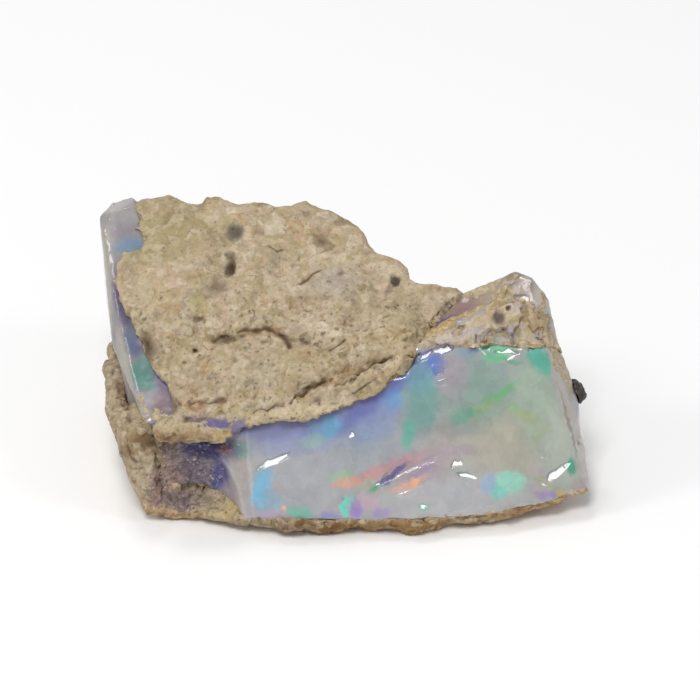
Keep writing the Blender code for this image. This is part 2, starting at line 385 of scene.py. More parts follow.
class FineSurface:
    """The fine surface of one piece while it is shaped, in millimetres."""

    def __init__(self, node: bpy.types.Object, name: str, step: float) -> None:
        """Copies a solid of the frame and nets it evenly.

        Args:
            node: the solid.
            name: the new piece's name.
            step: the length of a face's side.
        """
        self.piece = bpy.data.objects.new(name, node.data.copy())
        bpy.context.scene.collection.objects.link(self.piece)
        self.piece.data.materials.clear()
        net = self.piece.modifiers.new("Net", "REMESH")
        net.mode = "VOXEL"
        net.voxel_size = step * MM
        graph = bpy.context.evaluated_depsgraph_get()
        netted = bpy.data.meshes.new_from_object(self.piece.evaluated_get(graph))
        self.piece.modifiers.clear()
        self.piece.data = netted
        netted.name = name
        netted.shade_smooth()
        self.read()

    def read(self) -> None:
        """Takes the corner points and edges from the mesh."""
        mesh = self.piece.data
        flat = np.empty(len(mesh.vertices) * 3)
        mesh.vertices.foreach_get("co", flat)
        self.points = flat.reshape(-1, 3) / MM
        self.edges = np.empty(len(mesh.edges) * 2, dtype=np.int32)
        mesh.edges.foreach_get("vertices", self.edges)
        self.edges = self.edges.reshape(-1, 2)
        self.hollow = np.zeros(len(self.points))

    def refine(self, chips: dict[str, Chip], parts: int) -> None:
        """Nets the surface more finely where chips will be broken off.

        Args:
            chips: the chips by name.
            parts: how many more points each edge gets there.
        """
        self.write()
        tree = self.tree()
        close = np.zeros(len(self.points), dtype=bool)
        for chip in chips.values():
            place = SIGHT.find(tree, chip.at)
            if place is not None:
                close |= chip.away(self.points - np.array(place)) < CHIP_MARGIN
        shape = bmesh.new()
        shape.from_mesh(self.piece.data)
        shape.verts.ensure_lookup_table()
        faces = {face for index in np.flatnonzero(close) for face in shape.verts[index].link_faces}
        edges = list({edge for face in faces for edge in face.edges})
        bmesh.ops.subdivide_edges(shape, edges=edges, cuts=parts, use_grid_fill=True)
        bmesh.ops.triangulate(shape, faces=[face for face in shape.faces if len(face.verts) > 4])
        shape.to_mesh(self.piece.data)
        shape.free()
        self.piece.data.shade_smooth()
        self.read()

    def write(self) -> None:
        """Gives the mesh the corner points."""
        self.piece.data.vertices.foreach_set("co", (self.points * MM).ravel())
        self.piece.data.update()

    def normals(self) -> np.ndarray:
        """Finds which way the surface faces.

        Returns:
            One direction for each point.
        """
        self.write()
        flat = np.empty(len(self.points) * 3)
        self.piece.data.vertex_normals.foreach_get("vector", flat)
        return flat.reshape(-1, 3)

    def tree(self) -> BVHTree:
        """The surface as a searchable tree, in millimetres."""
        faces = [tuple(face.vertices) for face in self.piece.data.polygons]
        return BVHTree.FromPolygons(self.points.tolist(), faces)

    def around(self, values: np.ndarray) -> np.ndarray:
        """Takes each point's neighbours together.

        Args:
            values: one value or one row for each point.

        Returns:
            The mean of the neighbours' values at each point.
        """
        first, second = self.edges.T
        count = np.bincount(self.edges.ravel(), minlength=len(values))
        table = values.reshape(len(values), -1)
        total = np.stack(
            [
                np.bincount(first, column[second], len(values))
                + np.bincount(second, column[first], len(values))
                for column in table.T
            ],
            axis=1,
        )
        return (total / count[:, None]).reshape(values.shape)

    def smooth(self, times: int) -> None:
        """Rounds edges off and evens the net."""
        for _ in range(times):
            self.points = (self.points + self.around(self.points)) / 2

    def push(self, height: np.ndarray) -> None:
        """Moves the surface out by a height at each point."""
        self.points = self.points + self.normals() * height[:, None]

    def edge_mask(self, spread: int) -> np.ndarray:
        """Finds the outward edges.

        Args:
            spread: how many times the mask is smoothed.

        Returns:
            How sharp the edge is at each point, from 0 to 1.
        """
        bend = np.sum((self.points - self.around(self.points)) * self.normals(), axis=1)
        for _ in range(spread):
            bend = (bend + self.around(bend)) / 2
        return np.clip(bend / np.percentile(bend, SHARPEST), 0, 1)

    def mark(self, name: str, values: np.ndarray) -> None:
        """Stores a value for each point that the materials read.

        Args:
            name: the attribute's name.
            values: one number for each point.
        """
        layer = self.piece.data.attributes.new(name, "FLOAT", "POINT")
        layer.data.foreach_set("value", values.astype(np.float32))

    def close(self, covers: dict[str, np.ndarray]) -> None:
        """Ends the shaping: writes the points and stores the covers by name."""
        self.write()
        for name, values in covers.items():
            self.mark(name, values)

    def cut(self, cuts: dict[str, Cut]) -> None:
        """Sinks cracks into the surface and remembers them as hollows, which get painted shade.

        Args:
            cuts: the cracks by name.
        """
        tree = self.tree()
        normals = self.normals()
        wander = waves(self.points, 1.1, Seed.CRACK, 2)
        for cut in cuts.values():
            found = [SIGHT.find(tree, at) for at in cut.path]
            places = np.array([place for place in found if place is not None])
            near = np.full(len(self.points), FAR_OFF)
            for start, end in zip(places, places[1:]):
                run = end - start
                along = np.clip((self.points - start) @ run / (run @ run), 0, 1)
                away = np.linalg.norm(self.points - start - along[:, None] * run, axis=1)
                near = np.minimum(near, away)
            share = np.clip(1 - near / (cut.breadth * (1 + 0.7 * wander)), 0, 1)
            # Cracks get painted shade through the hollows.
            self.hollow = np.maximum(self.hollow, share**0.5)
            self.points = self.points - normals * (cut.depth * share)[:, None]

    def press(self, dents: dict[str, Dent]) -> None:
        """Presses dents into the surface; the deeper ones are remembered as hollows, which get
        painted shade.

        Args:
            dents: the dents by name.
        """
        tree = self.tree()
        normals = self.normals()
        for name, dent in dents.items():
            place = SIGHT.find(tree, dent.at, name)
            if place is None:
                continue
            axes = SIGHT.oval(dent.turn, dent.reach, max(dent.reach))
            away = shares_of(axes, self.points - np.array(place))
            share = np.clip(1 - away**2, 0, 1)
            self.points = self.points - normals * (dent.depth * share)[:, None]
            # Deeper dents get painted shade through the hollows.
            if dent.depth > 0:
                dark = share * min(dent.depth, FULL_SHADE_DEPTH) / FULL_SHADE_DEPTH
                self.hollow = np.maximum(self.hollow, dark)

    def chip(self, chips: dict[str, Chip]) -> None:
        """Breaks flat chips off the surface.

        Args:
            chips: the chips by name.
        """
        tree = self.tree()
        ragged = drift(self.points, 0.5, Seed.RAGGED, 2)
        for name, chip in chips.items():
            place = SIGHT.find(tree, chip.at, name)
            if place is None:
                continue
            offset = self.points - np.array(place)
            facing = np.array(chip.facing) / np.linalg.norm(chip.facing)
            rise = offset @ facing + chip.bite
            inside = np.clip((1 - chip.away(offset + 0.16 * ragged)) * 5, 0, 1)
            self.points = self.points - facing * (np.clip(rise, 0, None) * inside)[:, None]


# ---- Node trees ----------------------------------------------------------------------------

Socket = bpy.types.NodeSocket
Colour = tuple[float, float, float]
SOCKET_KINDS = {"RGBA": "Color", "VALUE": "Float", "VECTOR": "Vector"}
MIX_INPUTS = (0, 6, 7)  # the share and the two colours of a Mix node set to colours
MIX_OUTPUT = 2


class Tree:
    """A node tree that is written one node at a time."""

    def __init__(self, tree: bpy.types.NodeTree) -> None:
        """Keeps the tree."""
        self.tree = tree

    def give(self, socket: Socket, value: object) -> None:
        """Links a socket to another one, or sets its value."""
        if isinstance(value, bpy.types.NodeSocket):
            self.tree.links.new(value, socket)
        else:
            socket.default_value = value

    def add(self, kind: str, inputs: dict | None = None, **settings: object) -> bpy.types.Node:
        """Adds a node.

        Args:
            kind: the node's type, without ShaderNode.
            inputs: what each input gets, by name or number: a socket or a value.
            **settings: the node's own properties.

        Returns:
            The node.
        """
        full = kind if kind.startswith("NodeGroup") else "ShaderNode" + kind
        node = self.tree.nodes.new(full)
        for name, value in settings.items():
            setattr(node, name, value)
        for name, value in (inputs or {}).items():
            self.give(node.inputs[name], value)
        return node

    def place_group(self, tree: bpy.types.NodeTree, **inputs: object) -> bpy.types.Node:
        """Places a node group; its inputs are named with _ for a space."""
        named = {name.replace("_", " "): value for name, value in inputs.items()}
        return self.add("Group", named, node_tree=tree)

    def math(self, what: str, first: object, second: object = 0.0, clamp: bool = False) -> Socket:
        """The result of a sum on two numbers."""
        inputs = {0: first, 1: second}
        return self.add("Math", inputs, operation=what, use_clamp=clamp).outputs[0]

    def times(self, first: object, second: object) -> Socket:
        """Two numbers multiplied."""
        return self.math("MULTIPLY", first, second)

    def mix(self, share: object, low: object, high: object, blend: str = "MIX") -> Socket:
        """A colour between two, or one laid on the other.

        Args:
            share: how much of the second.
            low, high: the first and the second colour.
            blend: how the second is laid on.

        Returns:
            The mixed colour.
        """
        inputs = dict(zip(MIX_INPUTS, (share, low, high)))
        node = self.add("Mix", inputs, data_type="RGBA", blend_type=blend, clamp_factor=True)
        return node.outputs[MIX_OUTPUT]

    def ease(
        self, value: object, low: object, high: object, start: float = 0.0, end: float = 1.0
    ) -> Socket:
        """A value eased from one range to another.

        Args:
            value: what is eased.
            low, high: the range it comes from.
            start, end: the range it goes to.

        Returns:
            The eased value.
        """
        inputs = {"Value": value, "From Min": low, "From Max": high, "To Min": start, "To Max": end}
        node = self.add("MapRange", inputs, interpolation_type="SMOOTHSTEP")
        return node.outputs["Result"]

    def noise(self, place: Socket, scale: float, detail: float = 2.0, rough: float = 0.5) -> Socket:
        """Smooth noise from 0 to 1; the scale is in swells to the millimetre."""
        inputs = {"Vector": place, "Scale": scale, "Detail": detail, "Roughness": rough}
        return self.add("TexNoise", inputs).outputs["Fac"]

    def cells(self, place: object, scale: object, feature: str = "F1", **more: float) -> tuple:
        """Cells packed round points.

        Args:
            place: the place that they are measured in.
            scale: how many there are to the millimetre.
            feature: what is measured in each.
            **more: the node's other inputs.

        Returns:
            The distance measured, and the red, green and blue of each cell's own colour.
        """
        node = self.add("TexVoronoi", {"Vector": place, "Scale": scale, **more}, feature=feature)
        if feature == "DISTANCE_TO_EDGE":
            return (node.outputs["Distance"],)
        pick = self.add("SeparateColor", {"Color": node.outputs["Color"]})
        return node.outputs["Distance"], *pick.outputs

    def grey(self, value: object) -> Socket:
        """A grey of a lightness."""
        return self.add("CombineColor", {0: value, 1: value, 2: value}).outputs[0]

    def shade(self, colour: object, value: object) -> Socket:
        """A colour made lighter or darker by a value about 1."""
        return self.mix(1.0, colour, self.grey(value), "MULTIPLY")

    def ramp(self, value: object, stops: tuple, hard: bool = False) -> Socket:
        """A colour picked along a ramp.

        Args:
            value: the place along the ramp, from 0 to 1.
            stops: pairs of a place and a display colour.
            hard: whether the colours change in steps.

        Returns:
            The colour.
        """
        node = self.add("ValToRGB", {"Fac": value})
        ramp = node.color_ramp
        ramp.interpolation = "CONSTANT" if hard else "LINEAR"
        while len(ramp.elements) < len(stops):
            ramp.elements.new(0.5)
        for element, (place, colour) in zip(ramp.elements, stops):
            element.position = place
            element.color = paint(*colour)
        return node.outputs["Color"]


class Group(Tree):
    """A node group while its nodes are written. Every group is measured in a Place."""

    def __init__(self, name: str, **inputs: object) -> None:
        """Begins a group.

        Args:
            name: the group's name.
            **inputs: each input's starting value: a number, three for a vector, four for a colour.
        """
        super().__init__(bpy.data.node_groups.new(name, "ShaderNodeTree"))
        for label, value in {"Place": (0, 0, 0), **inputs}.items():
            kind = {3: "Vector", 4: "Color"}[len(value)] if isinstance(value, tuple) else "Float"
            self.socket(label.replace("_", " "), "INPUT", kind).default_value = value
        self.given = self.add("NodeGroupInput").outputs

    def socket(self, label: str, side: str, kind: str) -> bpy.types.NodeTreeInterfaceSocket:
        """Makes an input or an output of the group, of a kind such as Float."""
        full = "NodeSocket" + kind
        return self.tree.interface.new_socket(label, in_out=side, socket_type=full)

    def end(self, **outputs: Socket) -> bpy.types.NodeTree:
        """Gives the group its outputs and closes it.

        Args:
            **outputs: what each output gives.

        Returns:
            The group.
        """
        for label, value in outputs.items():
            self.socket(label, "OUTPUT", SOCKET_KINDS[value.type])
        self.add("NodeGroupOutput", outputs)
        return self.tree


BLOTCH_TINTS = (
    (0.00, (200, 172, 150)),
    (0.16, (168, 150, 112)),
    (0.30, (182, 164, 138)),
    (0.44, (210, 198, 174)),
    (0.58, (176, 162, 122)),
    (0.72, (158, 146, 126)),
    (0.86, (172, 138, 98)),
    (0.93, (130, 112, 86)),
)
BLOTCH_LAYERS = ((1.0, 0.9), (2.3, 0.8), (5.5, 0.4))  # how much finer, and how strong
FIRE_HUES = (
    (0.05, (128, 122, 160)),
    (0.25, (124, 142, 182)),
    (0.42, (128, 168, 186)),
    (0.55, (122, 172, 158)),
    (0.66, (146, 170, 142)),
    (0.78, (176, 162, 162)),
    (0.90, (164, 146, 172)),
)


class Effects:
    """The node groups that the materials share, each built once."""

    def __init__(self) -> None:
        """Builds the groups."""
        self.warp = self.build_warp()
        self.patch = self.build_patch()
        self.sand = self.build_sand()
        self.sugar = self.build_sugar()
        self.blotch = self.build_blotch()
        self.fire = self.build_fire()

    @staticmethod
    def build_warp() -> bpy.types.NodeTree:
        """Places shifted by noise, which makes every edge uneven.

        Returns:
            The group.
        """
        tree = Group("Warp", Scale=1.0, Amount=0.3)
        place = tree.given["Place"]
        noise = tree.add("TexNoise", {"Vector": place, "Scale": tree.given["Scale"], "Detail": 3.0})
        inputs = {0: noise.outputs["Color"], 1: (0.5, 0.5, 0.5)}
        middle = tree.add("VectorMath", inputs, operation="SUBTRACT")
        inputs = {0: middle.outputs[0], "Scale": tree.given["Amount"]}
        shift = tree.add("VectorMath", inputs, operation="SCALE")
        moved = tree.add("VectorMath", {0: place, 1: shift.outputs[0]})
        return tree.end(Place=moved.outputs[0])

    @staticmethod
    def build_patch() -> bpy.types.NodeTree:
        """One soft-edged oval of colour at a place of its own.

        Returns:
            The group.
        """
        tree = Group(
            "Patch",
            Middle=(0, 0, 0),
            Along=(1, 0, 0),
            Aside=(0, 1, 0),
            Deep=(0, 0, 1),
            Outer=1.4,
            Inner=0.6,
            Strength=1.0,
            Colour=(1, 1, 1, 1),
            Ground=(0, 0, 0, 1),
        )
        inputs = {0: tree.given["Place"], 1: tree.given["Middle"]}
        offset = tree.add("VectorMath", inputs, operation="SUBTRACT").outputs[0]
        squares = []
        for axis in ("Along", "Aside", "Deep"):
            inputs = {0: offset, 1: tree.given[axis]}
            part = tree.add("VectorMath", inputs, operation="DOT_PRODUCT").outputs["Value"]
            squares.append(tree.times(part, part))
        total = tree.math("ADD", tree.math("ADD", squares[0], squares[1]), squares[2])
        mask = tree.ease(tree.math("SQRT", total), tree.given["Outer"], tree.given["Inner"])
        share = tree.times(mask, tree.given["Strength"])
        return tree.end(Colour=tree.mix(share, tree.given["Ground"], tree.given["Colour"]))

    @staticmethod
    def build_sand() -> bpy.types.NodeTree:
        """Packed sand: a tint for each grain, thin dark seams, specks and the grains' height.

        Returns:
            The group.
        """
        tree = Group(
            "Sand",
            Scale=2.5,
            Ground=(0.5, 0.4, 0.3, 1),
            Light_Grain=(0.7, 0.6, 0.45, 1),
            Dark_Grain=(0.2, 0.13, 0.07, 1),
            Contrast=0.5,
            Seams=0.5,
            Specks=0.5,
        )
        given = tree.given
        place, scale, dark_grain = given["Place"], given["Scale"], given["Dark Grain"]
        big, big_red, _, _ = tree.cells(place, scale)
        small, _, small_green, small_blue = tree.cells(place, tree.times(scale, 2.3))
        light = tree.times(tree.ease(big_red, 0.45, 1.0), given["Contrast"])
        colour = tree.mix(light, given["Ground"], given["Light Grain"])
        dark = tree.ease(small_green, 0.6, 1.0, 0.0, 0.45)
        colour = tree.mix(tree.times(dark, given["Contrast"]), colour, dark_grain)
        (net,) = tree.cells(place, tree.times(scale, 0.42), "DISTANCE_TO_EDGE")
        some = tree.ease(tree.noise(place, 1.6, 3.0, 0.6), 0.56, 0.66)
        seam = tree.times(tree.ease(net, 0.05, 0.0), some)
        colour = tree.mix(tree.times(seam, given["Seams"]), colour, dark_grain)
        rare = tree.math("GREATER_THAN", small_blue, 0.965)
        speck = tree.times(tree.times(rare, tree.ease(small, 0.55, 0.3)), given["Specks"])
        colour = tree.mix(speck, colour, dark_grain)
        bump, fine = tree.math("SUBTRACT", 1.0, big), tree.math("SUBTRACT", 1.0, small)
        height = tree.math("ADD", bump, tree.times(fine, 0.5))
        return tree.end(Colour=colour, Height=tree.math("SUBTRACT", height, seam))

    @staticmethod
    def build_sugar() -> bpy.types.NodeTree:
        """A crust of tiny crystals: pale points on a mottled ground, and their height.

        Returns:
            The group.
        """
        tree = Group(
            "Sugar",
            Scale=4.0,
            Ground=(0.2, 0.15, 0.2, 1),
            Crystal=(0.6, 0.55, 0.6, 1),
            Cover=0.5,
        )
        place = tree.given["Place"]
        away, red, _, _ = tree.cells(place, tree.given["Scale"])
        point = tree.ease(away, 0.6, 0.1)
        bright = tree.times(point, tree.ease(red, 0.3, 1.0))
        cloud = tree.ease(tree.noise(place, 0.9, 4.0, 0.65), 0.4, 0.65, 0.25, 1.0)
        share = tree.times(tree.times(bright, cloud), tree.given["Cover"])
        mottle = tree.ease(tree.noise(place, 2.2, 4.0, 0.7), 0.3, 0.7, 0.5, 1.4)
        ground = tree.shade(tree.given["Ground"], mottle)
        return tree.end(Colour=tree.mix(share, ground, tree.given["Crystal"]), Height=point)

    @staticmethod
    def build_blotch() -> bpy.types.NodeTree:
        """Angular blotches: cells of three sizes, each with a tint of its own.

        Returns:
            The group.
        """
        tree = Group("Blotch", Scale=0.8, Strength=0.5, Ground=(0.5, 0.4, 0.3, 1))
        colour = tree.given["Ground"]
        for finer, share in BLOTCH_LAYERS:
            size = tree.times(tree.given["Scale"], finer)
            _, red, green, _ = tree.cells(tree.given["Place"], size)
            tint = tree.ramp(red, BLOTCH_TINTS, hard=True)
            some = tree.ease(green, 0.3, 1.0, 0.0, share)
            colour = tree.mix(tree.times(some, tree.given["Strength"]), colour, tint)
        return tree.end(Colour=colour)

    @staticmethod
    def build_fire() -> bpy.types.NodeTree:
        """General play of colour: soft domains, each with a hue and a strength of its own.

        Returns:
            The group.
        """
        tree = Group("Opal Fire", Scale=0.45, Strength=0.5, Ground=(0.4, 0.4, 0.5, 1))
        soft = {"Smoothness": 0.35, "Detail": 1.0, "Roughness": 0.4}
        domain = tree.cells(tree.given["Place"], tree.given["Scale"], "SMOOTH_F1", **soft)
        _, red, green, _ = domain
        hue = tree.ramp(tree.ease(red, 0.15, 0.85), FIRE_HUES)
        share = tree.ease(green, 0.25, 0.8, 0.15, 1.0)
        share = tree.times(share, tree.given["Strength"])
        return tree.end(Colour=tree.mix(share, tree.given["Ground"], hue))


@dataclass(frozen=True)
class Mark:
    """An oval patch of colour or cover.

    at is where its middle shows, reach is half its length and half its breadth, turn is in degrees
    and depth is how far it reaches along the line of sight.
    """

    at: tuple[float, float]
    reach: tuple[float, float]
    turn: float
    colour: Colour
    strength: float = 0.8
    softness: float = 0.5
    depth: float = 0.9

    def axes(self) -> tuple[Vector, ...]:
        """The oval's three directions, each divided by its reach."""
        return SIGHT.oval(self.turn, self.reach, max(self.depth, min(self.reach)))

    def share(self, surface: BVHTree, points: np.ndarray, name: str) -> np.ndarray:
        """How much the patch covers each point.

        Args:
            surface: the surface that it lies on.
            points: places in millimetres, one row each.
            name: the patch's name.

        Returns:
            A number from 0 to its strength for each point.
        """
        middle = SIGHT.find(surface, self.at, name)
        if middle is None:
            return np.zeros(len(points))
        away = shares_of(self.axes(), points - np.array(middle))
        share = np.clip((1 + self.softness - away) / (2 * self.softness), 0, 1)
        return self.strength * share * share * (3 - 2 * share)


Marks = dict[str, Mark]


def reaching(depth: float, marks: Marks) -> Marks:
    """The same patches, each reaching a depth along the line of sight."""
    return {name: replace(mark, depth=depth) for name, mark in marks.items()}


def cover(marks: Marks, fine: FineSurface, wander: float, size: float) -> np.ndarray:
    """How much a set of patches covers each point of a surface.

    Args:
        marks: the patches.
        fine: the surface.
        wander: how far noise moves the patches' edges.
        size: the length of the noise's swells.

    Returns:
        A number from 0 to 1 for each point.
    """
    points = fine.points + wander * drift(fine.points, size, Seed.COVER, 3)
    tree = fine.tree()
    return np.maximum.reduce([mark.share(tree, points, name) for name, mark in marks.items()])


class Dress:
    """A material while its nodes are written. Its place is in millimetres."""

    def __init__(self, name: str, effects: Effects, surface: BVHTree) -> None:
        """Begins a material on a piece's surface.

        Args:
            name: the material's name.
            effects: the shared node groups.
            surface: the piece's surface, on which marks are found.
        """
        self.effects = effects
        self.surface = surface
        self.material = bpy.data.materials.new(name)
        self.material.use_nodes = True
        self.tree = Tree(self.material.node_tree)
        self.shader = self.material.node_tree.nodes["Principled BSDF"]
        where = self.tree.add("TexCoord").outputs["Object"]
        inputs = {0: where, "Scale": 1 / MM}
        self.place = self.tree.add("VectorMath", inputs, operation="SCALE").outputs[0]

    def warped(self, scale: float, amount: float, place: Socket | None = None) -> Socket:
        """The place, shifted by noise of a scale and an amount in millimetres."""
        given = {"Place": place or self.place, "Scale": scale, "Amount": amount}
        return self.tree.place_group(self.effects.warp, **given).outputs["Place"]

    def attribute(self, name: str) -> Socket:
        """A value stored on the mesh."""
        return self.tree.add("Attribute", {}, attribute_name=name).outputs["Fac"]

    def ragged(self, name: str, noise: Socket, reach: float = 0.5) -> Socket:
        """A stored cover with its edge broken up by noise.

        Args:
            name: the stored value.
            noise: the noise, about 0.5.
            reach: how far the noise reaches into the cover.

        Returns:
            The cover, from 0 to 1.
        """
        shift = self.tree.ease(noise, 0.3, 0.7, -reach, reach)
        return self.tree.ease(self.tree.math("ADD", self.attribute(name), shift), 0.35, 0.6)

    def marks(self, marks: Marks, ground: object, place: Socket, share: float = 1.0) -> Socket:
        """Lays patches of colour on a ground.

        Args:
            marks: the patches, the lowest first.
            ground: the colour under them.
            place: the place that they are measured in.
            share: how much of their strength they get.

        Returns:
            The colour with the patches on it.
        """
        for name, mark in marks.items():
            middle = SIGHT.find(self.surface, mark.at, name)
            if middle is None:
                continue
            along, aside, deep = mark.axes()
            patch = self.tree.place_group(
                self.effects.patch,
                Place=place,
                Middle=middle,
                Along=along,
                Aside=aside,
                Deep=deep,
                Outer=1 + mark.softness,
                Inner=1 - mark.softness,
                Strength=mark.strength * share,
                Colour=paint(*mark.colour),
                Ground=ground,
            )
            ground = patch.outputs["Colour"]
        return ground

    def sugared(
        self, under: Socket, ground: Socket, share: Socket, tone: Colour, thick: float
    ) -> tuple[Socket, Socket]:
        """Lays a crust of tiny crystals on a colour.

        Args:
            under: the colour where there is no crust.
            ground: the colour between the crystals.
            share: where the crust lies.
            tone: the crystals' display colour.
            thick: how thickly they stand.

        Returns:
            The colour with the crust on it, and the crust's height.
        """
        inputs = {"Scale": 3.4, "Ground": ground, "Crystal": paint(*tone), "Cover": thick}
        crust = self.tree.place_group(self.effects.sugar, Place=self.warped(2.6, 0.5), **inputs)
        return self.tree.mix(share, under, crust.outputs["Colour"]), crust.outputs["Height"]

    def set(self, **values: object) -> None:
        """Sets or links the shader's sockets, named with _ for a space."""
        for name, value in values.items():
            self.tree.give(self.shader.inputs[name.replace("_", " ")], value)

    def bump(self, height: Socket, strength: float, distance: float) -> Socket:
        """A normal bent by a height; the distance is in millimetres."""
        inputs = {"Height": height, "Strength": strength, "Distance": distance * MM}
        return self.tree.add("Bump", inputs).outputs["Normal"]


# ---- The opal --------------------------------------------------------------------------------

# Each table lists its patches from the lowest to the uppermost.

GROUND_MARKS: Marks = {
    "lilac ground, left": Mark((300, 470), (5.0, 3.2), 0, (174, 176, 182), 0.8, 0.6),
    "blue-lilac ground": Mark((365, 440), (3.6, 2.4), 10, (158, 166, 170), 0.8, 0.6),
    "lilac ground, low": Mark((440, 500), (6.0, 1.8), 5, (184, 184, 188)),
    "warm grey ground": Mark((505, 440), (3.4, 3.0), 10, (176, 172, 154), 0.95),
    "grey-violet band": Mark((450, 428), (2.6, 0.9), 5, (150, 150, 150), 0.75, 0.6),
    "mauve ground": Mark((425, 466), (3.4, 1.2), 22, (172, 156, 162), 0.8, 0.6),
    "teal-grey ground": Mark((476, 392), (3.0, 2.6), -8, (134, 162, 150), 0.95),
    "blue-grey ground": Mark((536, 400), (1.8, 4.0), 12, (160, 180, 162), 0.95),
    "blue-grey ground, low": Mark((560, 450), (1.5, 3.4), 16, (176, 184, 172), 0.9),
}
UNDER_CAP_MARKS: Marks = {
    "violet band": Mark((290, 430), (4.4, 0.9), 5, (116, 122, 178), 0.85, 0.55),
    "violet band, middle": Mark((345, 420), (2.6, 0.9), 16, (108, 118, 178), 0.8, 0.6),
    "soft blue under it": Mark((296, 444), (3.4, 0.8), 6, (140, 152, 192), 0.7, 0.6),
    "cyan flash, left": Mark((330, 427), (0.9, 0.7), 60, (112, 180, 210)),
    "cyan glow, left": Mark((316, 432), (0.5, 0.9), 10, (130, 176, 204), 0.6),
    "pale green flash": Mark((314, 441), (0.9, 0.5), 20, (152, 180, 170), 0.75),
    "violet line": Mark((374, 402), (2.2, 0.6), 36, (100, 102, 180), 0.85, 0.6),
    "violet line, upper": Mark((400, 378), (1.3, 0.5), 62, (96, 108, 180), 0.8, 0.6),
    "cyan-blue flash": Mark((393, 400), (0.9, 0.9), 40, (100, 160, 216), 0.85, 0.55),
    "blue glow": Mark((372, 425), (2.2, 1.3), 35, (130, 150, 196), 0.7, 0.6),
    "teal-blue": Mark((418, 376), (1.6, 1.5), 20, (96, 146, 176), 0.85),
    "teal-green": Mark((422, 405), (1.4, 2.2), -8, (110, 162, 156), 0.9),
    "teal flash": Mark((409, 434), (0.55, 1.1), -14, (90, 180, 160), 0.85),
    "blue flash": Mark((436, 364), (0.7, 0.9), 20, (94, 124, 200), 0.9, 0.45),
    "grey-lilac facet": Mark((452, 374), (1.2, 1.7), -12, (166, 156, 164), 0.9, 0.35),
    "teal-grey corner": Mark((466, 348), (0.9, 0.8), 0, (132, 158, 172)),
    "dark blue corner": Mark((475, 346), (0.45, 0.6), 60, (74, 82, 134), 0.85),
    "lilac edge": Mark((436, 350), (2.4, 0.5), 22, (146, 142, 176), 0.7),
}
GREEN_MARKS: Marks = {
    "green under the ridge": Mark((496, 348), (1.4, 0.6), 5, (130, 204, 168), 0.9, 0.4),
    "green streak": Mark((497, 359), (1.0, 0.32), 4, (106, 192, 138), 0.95),
    "dark green streak": Mark((512, 362), (0.9, 0.25), -8, (104, 158, 134)),
    "green diagonal": Mark((499, 394), (1.6, 0.36), 30, (110, 178, 122), 0.9),
    "yellow-green": Mark((480, 410), (1.4, 0.45), 32, (150, 170, 132)),
    "green, left": Mark((464, 416), (1.0, 0.4), 12, (102, 162, 142)),
    "teal wedge": Mark((541, 358), (0.8, 1.4), 24, (68, 174, 150), 0.95, 0.45),
    "teal wedge, left": Mark((533, 352), (0.5, 0.6), 0, (100, 176, 162)),
    "green fleck": Mark((515, 411), (0.7, 0.28), -38, (130, 190, 150), 0.9),
    "yellow-green arc": Mark((526, 416), (1.7, 0.4), -22, (164, 174, 130), 0.75, 0.55),
    "yellow-green arc, low": Mark((541, 432), (0.9, 0.35), 40, (164, 172, 138), 0.6, 0.6),
    "grey patch": Mark((455, 394), (0.8, 1.0), 0, (158, 156, 160), 0.6),
    "bright teal, low": Mark((508, 483), (1.5, 0.9), 8, (150, 212, 192), 1.0, 0.4),
    "cyan edge of it": Mark((498, 494), (0.6, 0.6), 0, (118, 200, 188)),
    "lavender beside it": Mark((488, 484), (0.7, 0.8), 0, (150, 174, 208)),
    "yellow-green, low": Mark((546, 485), (1.4, 0.4), -30, (164, 174, 132), 0.7, 0.6),
    "teal spot, right": Mark((572, 467), (0.35, 0.6), 0, (58, 158, 130), 0.95, 0.4),
    "violet, right": Mark((548, 496), (0.9, 0.3), 8, (152, 124, 186), 0.7),
    "yellow, right": Mark((561, 494), (0.5, 0.3), 0, (188, 170, 100)),
    "warm corner": Mark((580, 486), (0.8, 0.6), 0, (172, 156, 152), 0.7),
}
WARM_MARKS: Marks = {
    "pink streak": Mark((394, 465), (3.0, 0.5), 20, (190, 146, 152)),
    "pink streak, left": Mark((368, 477), (1.4, 0.4), 24, (200, 152, 144), 0.75),
    "pale green": Mark((340, 477), (1.1, 0.4), 14, (152, 186, 148)),
    "orange-pink": Mark((345, 484), (1.2, 0.42), 10, (216, 164, 142), 0.85),
    "soft green": Mark((366, 487), (0.9, 0.4), 30, (168, 174, 152), 0.7),
    "green dot": Mark((377, 488), (0.42, 0.24), 20, (78, 172, 114), 0.9),
    "violet sliver": Mark((393, 474), (1.4, 0.32), 40, (82, 82, 146), 0.9, 0.4),
    "orange streak": Mark((409, 485), (1.5, 0.3), 22, (222, 170, 154), 0.85),
    "orange dot": Mark((415, 483), (0.42, 0.26), 20, (240, 178, 132), 0.95),
    "violet streak": Mark((422, 471), (1.2, 0.3), 30, (150, 130, 166), 0.7),
    "mauve streak": Mark((446, 452), (2.2, 0.36), 12, (172, 158, 168), 0.6),
}
